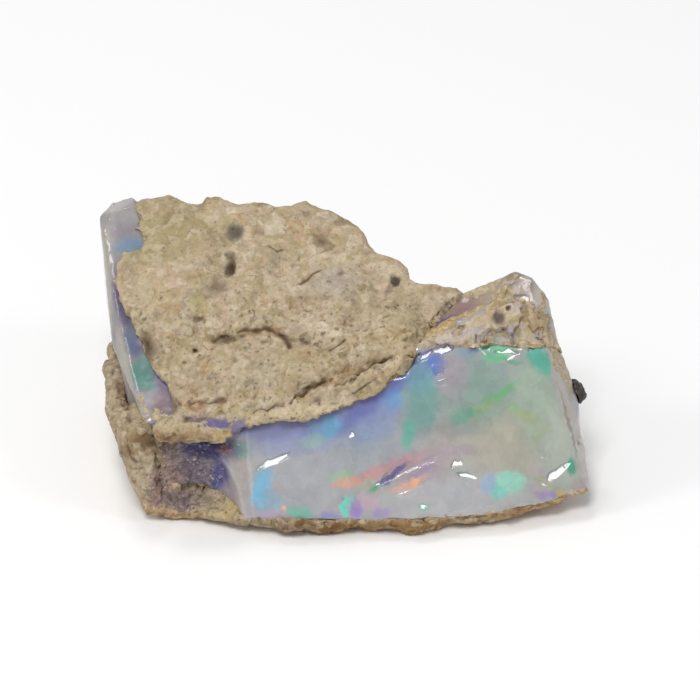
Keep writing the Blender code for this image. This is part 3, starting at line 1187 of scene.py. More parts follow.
LOW_MARKS: Marks = {
    "cyan flash, low left": Mark((261, 488), (0.8, 1.7), -14, (120, 186, 220), 0.95),
    "cyan tail": Mark((272, 502), (0.8, 0.7), 20, (134, 178, 196), 0.7),
    "green, low left": Mark((299, 512), (1.1, 0.4), -8, (110, 186, 164), 0.85),
    "orange fleck": Mark((282, 508), (0.25, 0.25), 0, (230, 184, 150), 0.95),
    "lilac, low left": Mark((258, 516), (2.0, 0.5), 0, (186, 174, 200), 0.7, 0.6),
    "violet, low": Mark((327, 518), (0.9, 0.4), 0, (144, 146, 206), 0.75),
    "cyan pillar": Mark((345, 509), (0.28, 1.0), -4, (100, 216, 200), 1.0, 0.4),
    "cyan spot": Mark((352, 503), (0.4, 0.5), 0, (122, 200, 186)),
    "violet pillar": Mark((357, 511), (0.42, 0.9), 0, (150, 124, 198), 0.85, 0.45),
    "pink spot": Mark((369, 503), (0.9, 0.6), 0, (194, 164, 178), 0.75),
    "violet spot": Mark((381, 514), (0.7, 0.5), 0, (156, 136, 196), 0.65),
    "green spot": Mark((424, 509), (0.4, 0.26), 0, (126, 188, 168), 0.75),
}
LEFT_MARKS: Marks = {
    "pale facet": Mark((240, 478), (0.8, 3.4), 0, (170, 162, 158), 0.9),
    "pale facet, low": Mark((246, 512), (0.9, 0.9), 0, (174, 168, 168)),
    "teal on the facet": Mark((242, 450), (0.7, 0.7), 0, (126, 162, 152)),
    # Painted highlight: a pale line down the facet's edge.
    "painted edge highlight line": Mark((250, 470), (0.14, 3.4), 4, (212, 214, 220), 0.25),
    # Partly the opal's own violet and partly painted shade beneath the overhanging ledge.
    "hollow, violet in painted shade": Mark((206, 448), (2.5, 1.1), 0, (62, 56, 100), 1.0, 0.5, 2.0),
    "hollow, upper left": Mark((162, 450), (1.4, 1.0), 0, (116, 92, 80), 0.95, 0.5, 2.4),
    "hollow, purple-grey": Mark((192, 474), (2.0, 1.7), 20, (116, 101, 114), 0.9, 0.6, 2.0),
    "hollow, pinkish": Mark((168, 478), (1.2, 2.2), 0, (156, 130, 120), 0.9, 0.6, 2.0),
    "hollow, pink-brown": Mark((224, 451), (0.5, 0.4), 0, (144, 110, 112), 0.85, 0.4, 2.0),
    "hollow, blue": Mark((221, 474), (0.7, 1.4), 0, (70, 68, 126), 0.9, 0.5, 2.0),
    "hollow, strong blue": Mark((215, 484), (0.35, 0.4), 0, (76, 84, 160), 0.6, 0.5, 2.0),
    "hollow, right side": Mark((229, 498), (0.6, 1.4), 0, (148, 134, 142), 0.7, 0.5, 2.0),
    "band ground": Mark((132, 320), (2.4, 9.4), 15, (136, 128, 134), 0.95, 0.3, 3.0),
    "corner": Mark((120, 222), (2.6, 3.0), 0, (154, 149, 148), 1.0, 0.5, 2.0),
    # Painted light: the corner's top is painted lighter and its side darker, as the light falls on
    # them.
    "corner, painted highlight on the top": Mark((116, 206), (1.4, 0.4), 20, (184, 180, 180), 0.8, 0.5, 1.6),
    "corner, painted shade on the side": Mark((126, 232), (0.9, 1.0), 0, (138, 132, 140), 0.8, 0.5, 1.6),
    "corner, blue": Mark((131, 246), (1.3, 0.7), 10, (112, 140, 164), 0.85, 0.5, 1.6),
    "outer strip": Mark((106, 282), (0.6, 5.6), 4, (160, 156, 144), 1.0, 0.4, 1.6),
    "outer strip, low": Mark((124, 360), (0.5, 3.8), 16, (164, 158, 146), 0.95, 0.4, 1.6),
    "slate line": Mark((119, 286), (0.3, 2.0), 8, (118, 112, 118), 0.9, 0.5, 1.6),
    "slate band": Mark((125, 306), (0.7, 2.4), 18, (86, 80, 104), 1.0, 0.5, 1.6),
    "blue band": Mark((134, 343), (0.7, 1.2), 22, (88, 100, 126), 0.95, 0.5, 1.6),
    "mauve-brown band": Mark((147, 344), (0.5, 1.0), 28, (136, 108, 122), 0.9, 0.5, 1.6),
    "teal band": Mark((146, 374), (1.1, 1.5), 18, (84, 132, 122), 1.0, 0.35, 1.6),
    "violet band, left": Mark((167, 382), (0.9, 2.0), 24, (120, 104, 142), 0.95, 0.5, 1.6),
    "grey-mauve band": Mark((166, 408), (1.2, 1.5), 0, (132, 114, 122), 0.95, 0.5, 1.6),
    "mauve foot": Mark((178, 404), (0.4, 2.0), 0, (130, 114, 138), 0.8, 0.5, 1.6),
}
RIGHT_MARKS: Marks = {
    "mauve slope": Mark((454, 312), (3.2, 1.0), 30, (150, 128, 116), 1.0, 0.5, 2.0),
    "violet line on it": Mark((440, 323), (1.5, 0.22), 28, (98, 84, 116), 0.9, 0.5, 1.6),
    "mauve streak on it": Mark((466, 305), (1.4, 0.4), 30, (134, 104, 110), 0.8, 0.5, 1.6),
    "slope, upper": Mark((486, 294), (1.4, 0.6), 30, (158, 138, 120), 0.8, 0.5, 1.8),
    "peak": Mark((520, 292), (2.4, 1.8), 0, (176, 163, 152), 1.0, 0.5, 2.0),
    "peak, light side": Mark((540, 302), (0.6, 1.2), 0, (192, 184, 174), 0.8, 0.5, 1.6),
    "peak, brown top": Mark((512, 276), (0.9, 0.3), 10, (130, 110, 98), 0.7, 0.5, 1.6),
    "side, upper": Mark((564, 362), (0.7, 2.8), 16, (172, 162, 148), 0.95, 0.4, 1.6),
    "glassy strip": Mark((563, 395), (0.45, 4.4), 16, (186, 179, 172), 0.85, 0.4),
    "glassy strip, low": Mark((582, 450), (0.55, 3.6), 14, (190, 184, 180), 0.8, 0.4),
    "strip's dark line": Mark((571, 432), (0.12, 3.8), 15, (132, 128, 122), 0.6),
}
FACE_MARKS: Marks = GROUND_MARKS | UNDER_CAP_MARKS | GREEN_MARKS | WARM_MARKS | LOW_MARKS
SIDE_MARKS: Marks = LEFT_MARKS | RIGHT_MARKS
CRUST_MARKS: Marks = {
    "facet under the ridge": Mark((448, 336), (3.2, 0.5), 14, (190, 174, 148), 0.75, 0.5, 1.4),
    "ridge line": Mark((453, 321), (3.4, 0.34), 27, (182, 154, 108), 1.3, 0.4, 1.6),
    "saddle's crust": Mark((484, 289), (1.8, 0.5), 20, (178, 162, 132), 1.0, 0.5, 1.6),
    "peak's left shoulder": Mark((499, 300), (1.5, 0.8), 48, (172, 150, 112), 0.9, 0.5, 1.8),
    "peak, upper crust": Mark((520, 312), (1.6, 0.5), 10, (178, 158, 122), 0.7, 0.5, 1.8),
    "peak, right shoulder": Mark((541, 306), (0.5, 1.5), -20, (168, 150, 126), 0.75, 0.5, 1.8),
    "peak, top": Mark((511, 278), (0.8, 0.3), 30, (138, 118, 98), 0.7, 0.5, 1.8),
    "peak crust": Mark((516, 322), (2.6, 1.1), 4, (166, 146, 108), 0.9, 0.4, 1.6),
    "peak crust, left": Mark((500, 306), (1.1, 0.9), 30, (164, 144, 112), 0.75, 0.5, 1.6),
    "peak crust, right": Mark((545, 322), (0.7, 1.0), 0, (160, 138, 104), 0.8, 0.5, 1.6),
    "right edge": Mark((552, 348), (0.5, 2.4), 15, (172, 156, 130), 0.9, 0.4, 1.4),
    "right side": Mark((564, 368), (0.3, 2.4), 16, (178, 164, 142), 0.6, 0.4, 1.4),
    "crumb on the band": Mark((160, 415), (0.7, 0.7), 0, (182, 166, 134), 0.7, 0.4, 1.6),
    "band's outer foot": Mark((142, 408), (0.4, 1.4), 16, (172, 152, 118), 0.55, 0.4, 1.6),
    "hollow, left side": Mark((158, 462), (0.7, 2.6), 0, (160, 136, 112), 0.8, 0.4, 2.4),
    "low edge, right": Mark((575, 494), (1.6, 0.25), 14, (168, 130, 96), 0.75, 0.4, 1.4),
    "low edge, middle": Mark((500, 512), (4.0, 0.2), 8, (172, 146, 118), 0.6, 0.5, 1.4),
}
MATTE_MARKS: Marks = {
    "slope": Mark((458, 312), (3.2, 1.1), 30, (0, 0, 0), 1.0, 0.4, 2.0),
    "band": Mark((150, 370), (1.9, 4.6), 20, (0, 0, 0), 0.6, 0.5, 2.0),
    "peak": Mark((518, 296), (2.4, 1.6), 0, (0, 0, 0), 0.45, 0.5, 2.0),
    "corner": Mark((124, 222), (2.4, 2.6), 0, (0, 0, 0), 0.4, 0.5, 2.0),
    "strip": Mark((117, 316), (1.5, 7.5), 10, (0, 0, 0), 1.2, 0.5, 2.0),
}
SUGAR_MARKS: Marks = {
    "hollow": Mark((184, 476), (3.1, 2.6), 0, (0, 0, 0), 1.1, 0.4, 3.0),
    "hollow, top": Mark((188, 447), (3.8, 1.0), 0, (0, 0, 0), 0.8, 0.4, 3.0),
}
TO_LIGHT = (-0.07, -0.66, 0.75)  # the facing that mirrors the front soft box in the view
CHIPS = {
    "sliver, left": Chip((272, 462), (-0.02, -0.66, 0.75), 0.10, (1.7, 0.42), 24),
    "sliver's foot": Chip((262, 467), (-0.14, -0.68, 0.72), 0.10, (0.7, 0.30), 30),
    "square fleck": Chip((352, 434), TO_LIGHT, 0.10, (0.36, 0.44), 0),
    "chain, upper": Chip((442, 349), TO_LIGHT, 0.16, (1.0, 0.34), 16),
    "chain, middle": Chip((426, 355), (-0.15, -0.63, 0.76), 0.18, (0.8, 0.30), 30),
    "loop, top": Chip((500, 340), TO_LIGHT, 0.14, (1.3, 0.24), -6),
    "loop, left": Chip((489, 345), (-0.16, -0.66, 0.74), 0.14, (0.8, 0.22), 24),
    "loop, low": Chip((506, 351), TO_LIGHT, 0.12, (1.0, 0.20), -4),
    "corner fleck": Chip((534, 347), (-0.1, -0.64, 0.76), 0.12, (0.5, 0.20), 20),
    "low middle, upper": Chip((458, 463), TO_LIGHT, 0.10, (0.55, 0.30), 12),
    "low middle, lower": Chip((468, 476), TO_LIGHT, 0.12, (0.95, 0.26), -12),
    "low right": Chip((557, 473), TO_LIGHT, 0.14, (1.2, 0.42), 34),
    "low right, end": Chip((567, 465), (-0.16, -0.62, 0.77), 0.12, (0.45, 0.30), 60),
    "low fleck": Chip((422, 506), TO_LIGHT, 0.06, (0.24, 0.20), 0),
    "pillar": Chip((343, 504), (-0.2, -0.64, 0.74), 0.06, (0.14, 0.6), 0),
    "groove, lower": Chip((430, 460), (0.0, -0.78, 0.62), 0.08, (2.0, 0.30), 20),
    "groove, violet": Chip((392, 474), (0.1, -0.95, 0.30), 0.12, (1.2, 0.26), 40),
    "groove, right": Chip((540, 447), (0.3, -0.80, 0.50), 0.06, (1.2, 0.30), -60),
    "peak, left": Chip((513, 289), (-0.25, -0.60, 0.76), 0.20, (0.8, 0.45), 40),
    "peak, middle": Chip((524, 299), (-0.02, -0.66, 0.75), 0.16, (0.8, 0.40), -10),
    "peak, right": Chip((538, 290), (0.5, -0.40, 0.77), 0.20, (0.7, 0.9), 0),
    "peak, crest": Chip((508, 281), (-0.5, -0.30, 0.81), 0.16, (0.9, 0.5), 30),
    "peak, low": Chip((533, 309), (0.10, -0.62, 0.78), 0.14, (0.6, 0.35), 10),
    "quiet spot by the chain": Chip((438, 370), (0.0, -0.87, 0.50), 0.09, (0.55, 0.45), 0),
    "quiet line under it": Chip((446, 381), (0.0, -0.87, 0.50), 0.06, (0.9, 0.30), 20),
    "tip": Chip((590, 488), (0.9, -0.4, 0.3), 0.25, (1.0, 1.0)),
    "right edge": Chip((576, 430), (0.5, -0.80, 0.3), 0.14, (0.3, 1.6), 14),
    "corner, outer": Chip((104, 216), (-0.7, -0.3, 0.7), 0.22, (1.2, 1.2)),
    "corner, top": Chip((122, 202), (-0.2, -0.45, 0.87), 0.18, (1.0, 0.5), 20),
}
OPAL_DENTS = {
    "groove under the streak": Dent((400, 472), (3.0, 0.32), 24, 0.08),
    "groove at the orange": Dent((412, 487), (2.2, 0.26), 22, 0.07),
    "groove, middle": Dent((440, 430), (3.2, 0.36), 8, 0.05),
    "groove, right": Dent((545, 447), (0.9, 0.20), 60, 0.07),
    "groove, low right": Dent((540, 481), (2.2, 0.22), -24, 0.09),
    "cyan pillar": Dent((346, 508), (0.20, 1.0), 0, 0.08),
    "violet pillar": Dent((357, 508), (0.20, 0.8), 6, 0.07),
    "zigzag over the edge": Dent((502, 328), (0.9, 0.25), 20, 0.12),
    "filled pocket": Dent((418, 358), (0.6, 0.5), 0, -0.40),
}


@dataclass
class OpalMass:
    """The opal: a glassy block with chipped edges and play of colour.

    swell, ripple, scar, crust, sugar and matte are heights on the surface, vivid is the strength
    of the patches on the face, and crust_tones are the crust's ground, light and dark grains.
    """

    node: str = "opal"
    slot: Slot = Slot.OPAL
    step: float = 0.20
    vivid: float = 0.86
    swell: float = 0.04
    ripple: float = 0.010
    scar: float = 0.10
    crust: float = 0.10
    sugar: float = 0.16
    matte: float = 0.03
    crystal: float = 0.50
    touching: float = 0.3
    # how far from a rock the painted shade under the cap reaches
    rock_shade_reach: float = 2.2
    crust_tones: tuple[Colour, ...] = ((186, 170, 138), (212, 198, 170), (122, 98, 70))
    milk_tones: tuple = ((0.3, (162, 162, 168)), (0.5, (172, 170, 168)), (0.7, (180, 177, 164)))
    # the violet-blue of the painted shade under the cap's edge, which also carries the violet
    # band's tint
    cap_edge_shade_tone: Colour = (96, 98, 166)
    # the near white of the painted highlight along the sharp edges, partly also their paler worn
    # look
    painted_edge_highlight_tone: Colour = (214, 214, 216)
    crystal_tone: Colour = (222, 212, 206)

    def build(self, frame: dict, rocks: dict[str, BVHTree]) -> FineSurface:
        """Nets and shapes the opal.

        Args:
            frame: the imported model.
            rocks: the rocks' solids by name, in millimetres.

        Returns:
            The opal's fine surface.
        """
        fine = FineSurface(frame["nodes"][self.node], "opal_mass", self.step)
        fine.smooth(2)
        fine.refine(CHIPS, 2)
        fine.press(OPAL_DENTS)
        fine.chip(CHIPS)
        edges = fine.edge_mask(2)
        covers = {
            "crust": cover(CRUST_MARKS, fine, 0.30, 0.9),
            "matte": cover(MATTE_MARKS, fine, 0.40, 1.5),
            "sugar": cover(SUGAR_MARKS, fine, 0.40, 1.2),
        }
        height = self.swell * waves(fine.points, 4.5, Seed.SWELL, 2)
        height += self.ripple * waves(fine.points * (1, 1, 1.8), 1.2, Seed.RIPPLE, 2)
        height -= self.scar * edges * np.clip(waves(fine.points, 0.6, Seed.SCAR, 2) - 0.1, 0, 1)
        near, _, pick = grains(fine.points, self.crystal, Seed.CRYSTAL)
        grain = (0.7 - near) + 0.6 * (pick - 0.5)
        height += covers["crust"] * self.crust * (0.5 + grain)
        height += covers["sugar"] * self.sugar * (grain - 0.3)
        height += covers["matte"] * self.matte * waves(fine.points, 0.5, Seed.MATTE, 3)
        fine.push(height)
        # How near each rock is, which the material reads for the painted shade under the cap.
        rock_shade_covers = {name: self.nearness(fine, rock) for name, rock in rocks.items()}
        fine.close({"edge": edges} | covers | rock_shade_covers)
        return fine

    def nearness(self, fine: FineSurface, rock: BVHTree) -> np.ndarray:
        """How near the opal's surface is to a rock.

        Args:
            fine: the opal's surface.
            rock: the rock's solid.

        Returns:
            One number for each point: 1 where they touch and 0 where the reach of the painted shade
                ends.
        """
        away = [rock.find_nearest(point)[3] for point in fine.points.tolist()]
        return np.clip(1 - (np.array(away) - self.touching) / self.rock_shade_reach, 0, 1)

    def colour(self, work: Dress) -> Socket:
        """The opal's play of colour, with painted shade under the cap's edge and a painted
        highlight along the sharp edges.

        Args:
            work: the material.

        Returns:
            The colour without crust.
        """
        tree = work.tree
        place = work.warped(1.9, 0.75, work.warped(0.6, 1.0))
        ground = tree.ramp(tree.noise(work.place, 0.22, 4.0, 0.55), self.milk_tones)
        across, deep, _ = tree.add("SeparateXYZ", {0: work.place}).outputs
        strength = tree.ease(deep, 2.5, 6.0, 0.2, 0.55)
        fire = work.effects.fire
        fire = tree.place_group(fire, Place=place, Scale=0.42, Strength=strength, Ground=ground)
        colour = work.marks(FACE_MARKS, fire.outputs["Colour"], place, self.vivid)
        colour = work.marks(SIDE_MARKS, colour, work.warped(1.9, 0.5))
        # Painted shade: the opal turns a dark violet-blue where it lies close under the cap's edge,
        # partly the violet band's own tint, fading out towards the sides.
        rim = tree.ease(work.attribute("cap_rock"), 0.78, 1.0, 0.0, 0.5)
        rim = tree.times(rim, tree.ease(across, -10.0, -7.5))
        rim = tree.times(rim, tree.ease(across, 9.0, 6.0))
        colour = tree.mix(rim, colour, paint(*self.cap_edge_shade_tone))
        facet = tree.cells(work.warped(1.1, 1.0), 0.9)[3]
        colour = tree.shade(colour, tree.ease(facet, 0.0, 1.0, 0.96, 1.04))
        cloud = tree.ease(tree.noise(work.warped(0.8, 1.0), 1.1, 5.0, 0.65), 0.3, 0.7, 0.95, 1.05)
        colour = tree.shade(colour, cloud)
        # Painted highlight: the sharp edges are lightened towards near white, partly also their
        # paler worn look.
        edge = tree.ease(work.attribute("edge"), 0.35, 1.0, 0.0, 0.2)
        return tree.mix(edge, colour, paint(*self.painted_edge_highlight_tone))

    def dress(self, fine: FineSurface, effects: Effects) -> None:
        """Gives the opal its material.

        Args:
            fine: the opal's surface.
            effects: the shared node groups.
        """
        work = Dress("precious opal", effects, fine.tree())
        tree = work.tree
        worn = tree.noise(work.place, 2.4, 4.0, 0.65)
        sugar = work.ragged("sugar", worn, 0.3)
        fire = self.colour(work)
        colour, sugar_height = work.sugared(fire, fire, sugar, self.crystal_tone, 0.9)
        crust = work.ragged("crust", worn, 0.35)
        tone, light, dark = (paint(*part) for part in self.crust_tones)
        sand = tree.place_group(
            effects.sand,
            Place=work.place,
            Scale=3.2,
            Ground=work.marks(CRUST_MARKS, tone, work.warped(1.1, 0.6)),
            Light_Grain=light,
            Dark_Grain=dark,
            Contrast=0.6,
            Seams=0.5,
            Specks=0.8,
        ).outputs
        colour = tree.mix(crust, colour, sand["Colour"])
        rough = tree.ease(tree.noise(work.place, 0.8, 3.0), 0.35, 0.7, 0.08, 0.2)
        matte = tree.times(work.attribute("matte"), 0.35)
        covered = tree.times(tree.math("MAXIMUM", sugar, crust), 0.65)
        rough = tree.math("ADD", tree.math("ADD", rough, matte), covered, clamp=True)
        height = tree.times(tree.noise(work.place, 3.0, 2.0, 0.5), 0.05)
        for share, relief in ((crust, sand["Height"]), (sugar, sugar_height)):
            height = tree.math("ADD", height, tree.times(share, relief))
        work.set(
            Base_Color=colour,
            Roughness=rough,
            IOR=1.45,
            Coat_Weight=tree.math("SUBTRACT", 0.4, tree.times(covered, 0.6)),
            Coat_Roughness=0.04,
            Coat_IOR=1.5,
            Subsurface_Weight=0.2,
            Subsurface_Radius=(0.9, 0.9, 1.1),
            Subsurface_Scale=MM,
            Normal=work.bump(height, 0.6, 0.12),
        )
        fine.piece.data.materials.append(work.material)


# ---- The rocks -------------------------------------------------------------------------------


@dataclass(frozen=True)
class RockFinish:
    """The colours of one rock and the marks on it; hollow is the colour of the painted shade in its
    hollows.
    """

    name: str
    clouds: tuple[tuple[float, Colour], ...]
    light: Colour
    dark: Colour
    hollow: Colour
    marks: Marks
    glass: Marks | None = None
    sugar: Marks | None = None
    grain_scale: float = 2.1
    contrast: float = 0.35
    seams: float = 0.3
    specks: float = 0.6
    blotch_scale: float = 0.6
    blotches: float = 0.75
    hollow_shade_strength: float = 0.9
    crystal: Colour = (214, 200, 190)


@dataclass(frozen=True)
class RockRelief:
    """How a rock's surface is broken.

    lump, chip, grain, crumb, pit, bite and fray are heights, the last two on edges, and each has
    the size of its own forms. calm_above is how high in the view the surface turns calmer, ragged
    is how much of the rock is worn away to holes, and thinner is the share of its thickness that
    is worn off. pits and flecks are the shares of the grains that are sunk or dark.
    """

    lump: float = 0.16
    lump_size: float = 2.4
    chip: float = 0.16
    chip_size: float = 1.15
    grain: float = 0.12
    grain_size: float = 0.46
    crumb: float = 0.06
    crumb_size: float = 0.35
    pit: float = 0.20
    pit_size: float = 0.62
    pits: float = 0.16
    fleck_size: float = 0.22
    flecks: float = 0.02
    bite: float = 0.6
    bite_size: float = 1.3
    fray: float = 0.3
    fray_size: float = 0.5
    seed: int = Seed.CAP
    calm_above: float = 99.0
    ragged: float = 0.0
    thinner: float = 0.0


@dataclass
class RockPiece:
    """A piece of the host rock that sits against the opal.

    hold is how far off the opal may be for the rock to be brought up to it, bite is how far it
    then goes in, sink is how deep a worn patch goes, and sugar is the crystals' height.
    """

    node: str
    name: str
    slot: Slot
    step: float
    finish: RockFinish
    relief: RockRelief
    cuts: dict[str, Cut]
    dents: dict[str, Dent]
    bite: float = 0.08
    hold: float = 0.75
    sink: float = 0.15
    sugar: float = 0.16
    crystal: float = 0.5

    def build(self, frame: dict, opal: BVHTree) -> FineSurface:
        """Nets and shapes the rock.

        Args:
            frame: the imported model.
            opal: the opal's solid, in millimetres.

        Returns:
            The rock's fine surface.
        """
        fine = FineSurface(frame["nodes"][self.node], self.name, self.step)
        fine.smooth(1)
        self.close_seam(fine, opal)
        fine.press(self.dents)
        fine.cut(self.cuts)
        if self.relief.thinner:
            self.wear_down(fine, opal)
        self.break_surface(fine)
        if self.relief.ragged:
            self.wear_through(fine, opal)
        kinds = (("glass", self.finish.glass), ("sugar", self.finish.sugar))
        covers = {name: cover(marks, fine, 0.35, 0.9) for name, marks in kinds if marks}
        if "sugar" in covers:
            near, _, pick = grains(fine.points, self.crystal, Seed.CRYSTAL)
            fine.push(self.sugar * covers["sugar"] * (0.6 - near + 0.8 * (pick - 0.5)))
        fine.points[:, 2] = np.maximum(fine.points[:, 2], 0)
        fine.close({"hollow": fine.hollow} | covers)
        return fine

    def close_seam(self, fine: FineSurface, opal: BVHTree) -> None:
        """Moves the side that faces the opal up to it, so that no gap shows.

        Args:
            fine: the rock's surface.
            opal: the opal's solid.
        """
        normals = fine.normals()
        for number, point in enumerate(fine.points.tolist()):
            place, _, _, away = opal.find_nearest(point)
            if away > self.hold or away == 0:
                continue
            way = (np.array(place) - fine.points[number]) / away
            faces = float(np.clip(way @ normals[number] * 1.6, 0, 1))
            fine.points[number] += way * faces * (away + self.bite)

    def break_surface(self, fine: FineSurface) -> None:
        """Works lumps, chips, grains and pits into the surface, and remembers pits and low places
        as hollows for painted shade, with the dark seams and flecks.

        Args:
            fine: the rock's surface.
        """
        relief = self.relief
        seeds = {layer: relief.seed + layer for layer in Layer}
        points = fine.points
        rise = points @ np.array(SIGHT.up)
        busy = 0.6 + (relief.calm_above - rise) / 4 + 0.4 * waves(points, 3.0, Seed.CALM)
        busy = np.clip(busy, 0.3, 1)
        edges = fine.edge_mask(3)
        bent = points + 0.25 * drift(points, 0.8, seeds[Layer.LUMP], 2)
        near, far, pick = grains(bent, relief.chip_size, seeds[Layer.CHIP])
        near_fine, _, pick_fine = grains(bent, relief.grain_size, seeds[Layer.GRAIN])
        near_pit, _, pick_pit = grains(bent * (0.6, 1.0, 1.2), relief.pit_size, seeds[Layer.PIT])
        pits = np.where(pick_pit > 1 - relief.pits, np.clip(1 - near_pit * 1.7, 0, 1), 0) * busy
        stands = np.where(pick_fine > 0.5, 1.0, 0.3)
        bites = np.clip(waves(points, relief.bite_size, seeds[Layer.EDGE], 3), 0, 1)
        height = relief.lump * waves(points, relief.lump_size, seeds[Layer.LUMP], 2)
        height += relief.chip * busy * ((pick - 0.5) * 0.9 + 0.5 * (0.6 - near))
        height += relief.grain * busy * stands * (0.75 - near_fine)
        height += relief.crumb * busy * waves(points, relief.crumb_size, seeds[Layer.CRUMB], 2)
        height -= relief.pit * pits
        height -= relief.bite * edges * bites
        height += relief.fray * edges * waves(points, relief.fray_size, seeds[Layer.EDGE_FINE], 2)
        fine.push(height)
        some = np.clip(waves(points, 1.0, seeds[Layer.SEAM]), 0, 1)
        seams = (1 - np.clip((far - near) * 7, 0, 1)) * some
        low = np.clip((fine.around(fine.around(height)) - height) / 0.06, 0, 1)
        _, _, pick_fleck = grains(bent, relief.fleck_size, seeds[Layer.FLECK])
        flecks = np.where(pick_fleck > 1 - relief.flecks, busy, 0)
        pits = pits * min(relief.pit / 0.1, 1.0)
        # The hollows: painted shade in pits and low places, and the rock's own dark seams and
        # flecks.
        marks = [0.8 * pits, 0.4 * seams * busy, 0.4 * low * busy, 0.7 * flecks]
        fine.hollow = np.maximum.reduce([fine.hollow, *marks])

    def wear_down(self, fine: FineSurface, opal: BVHTree) -> None:
        """Brings the outer side of a thin patch nearer to the opal.

        Args:
            fine: the rock's surface.
            opal: the opal's solid.
        """
        for number, point in enumerate(fine.points.tolist()):
            place, _, _, away = opal.find_nearest(point)
            if away > 0.1:
                way = np.array(place) - fine.points[number]
                fine.points[number] += way * self.relief.thinner

    def wear_through(self, fine: FineSurface, opal: BVHTree) -> None:
        """Sinks parts of a thin patch below the opal's surface, which leaves a ragged rim.

        Args:
            fine: the rock's surface.
            opal: the opal's solid.
        """
        noise = waves(fine.points, 1.3, self.relief.seed + Layer.WEAR, 3) - 0.05
        for number, point in enumerate(fine.points.tolist()):
            place, _, _, away = opal.find_nearest(point)
            if away == 0 or noise[number] < 0:
                continue
            way = (np.array(place) - fine.points[number]) / away
            share = min(noise[number] * 4 * self.relief.ragged, 1.0)
            fine.points[number] += way * share * (away + self.sink)

    def dress(self, fine: FineSurface, effects: Effects) -> None:
        """Gives the rock its material.

        Args:
            fine: the rock's surface.
            effects: the shared node groups.
        """
        finish = self.finish
        work = Dress(finish.name, effects, fine.tree())
        tree = work.tree
        place = work.warped(0.9, 0.8)
        blotched = tree.place_group(
            effects.blotch,
            Place=work.warped(1.5, 0.7),
            Scale=finish.blotch_scale,
            Strength=finish.blotches,
            Ground=tree.ramp(tree.noise(place, 0.42, 5.0, 0.62), finish.clouds),
        )
        sand = tree.place_group(
            effects.sand,
            Place=work.warped(2.0, 0.25),
            Scale=finish.grain_scale,
            Ground=work.marks(finish.marks, blotched.outputs["Colour"], place),
            Light_Grain=paint(*finish.light),
            Dark_Grain=paint(*finish.dark),
            Contrast=finish.contrast,
            Seams=finish.seams,
            Specks=finish.specks,
        ).outputs
        mottle = tree.ease(tree.noise(work.place, 1.3, 4.0, 0.62), 0.3, 0.7, 0.9, 1.08)
        colour = tree.shade(sand["Colour"], mottle)
        # Painted shade: cracks, deep dents, pits and low places are darkened towards the hollow
        # colour, together with the real dark seams and flecks.
        deep = tree.times(work.attribute("hollow"), finish.hollow_shade_strength)
        colour = tree.mix(deep, colour, paint(*finish.hollow))
        grit = tree.times(tree.noise(work.place, 9.0, 4.0, 0.7), 0.6)
        height = tree.math("ADD", sand["Height"], grit)
        rough = tree.ease(tree.noise(work.place, 4.0, 2.0), 0.3, 0.7, 0.75, 0.95)
        worn = tree.noise(work.place, 2.4, 4.0, 0.65)
        if finish.sugar:
            sugar = work.ragged("sugar", worn, 0.4)
            ground = work.marks(finish.sugar, colour, place)
            colour, _ = work.sugared(colour, ground, sugar, finish.crystal, 0.85)
            rough = tree.math("SUBTRACT", rough, tree.times(sugar, 0.35))
        if finish.glass:
            glass = work.ragged("glass", worn, 0.4)
            colour = tree.mix(glass, colour, work.marks(finish.glass, colour, place))
            rough = tree.math("SUBTRACT", rough, tree.times(glass, 0.6))
        normal = work.bump(height, 0.7, 0.08)
        work.set(Base_Color=colour, Roughness=rough, Specular_IOR_Level=0.3, Normal=normal)
        fine.piece.data.materials.append(work.material)


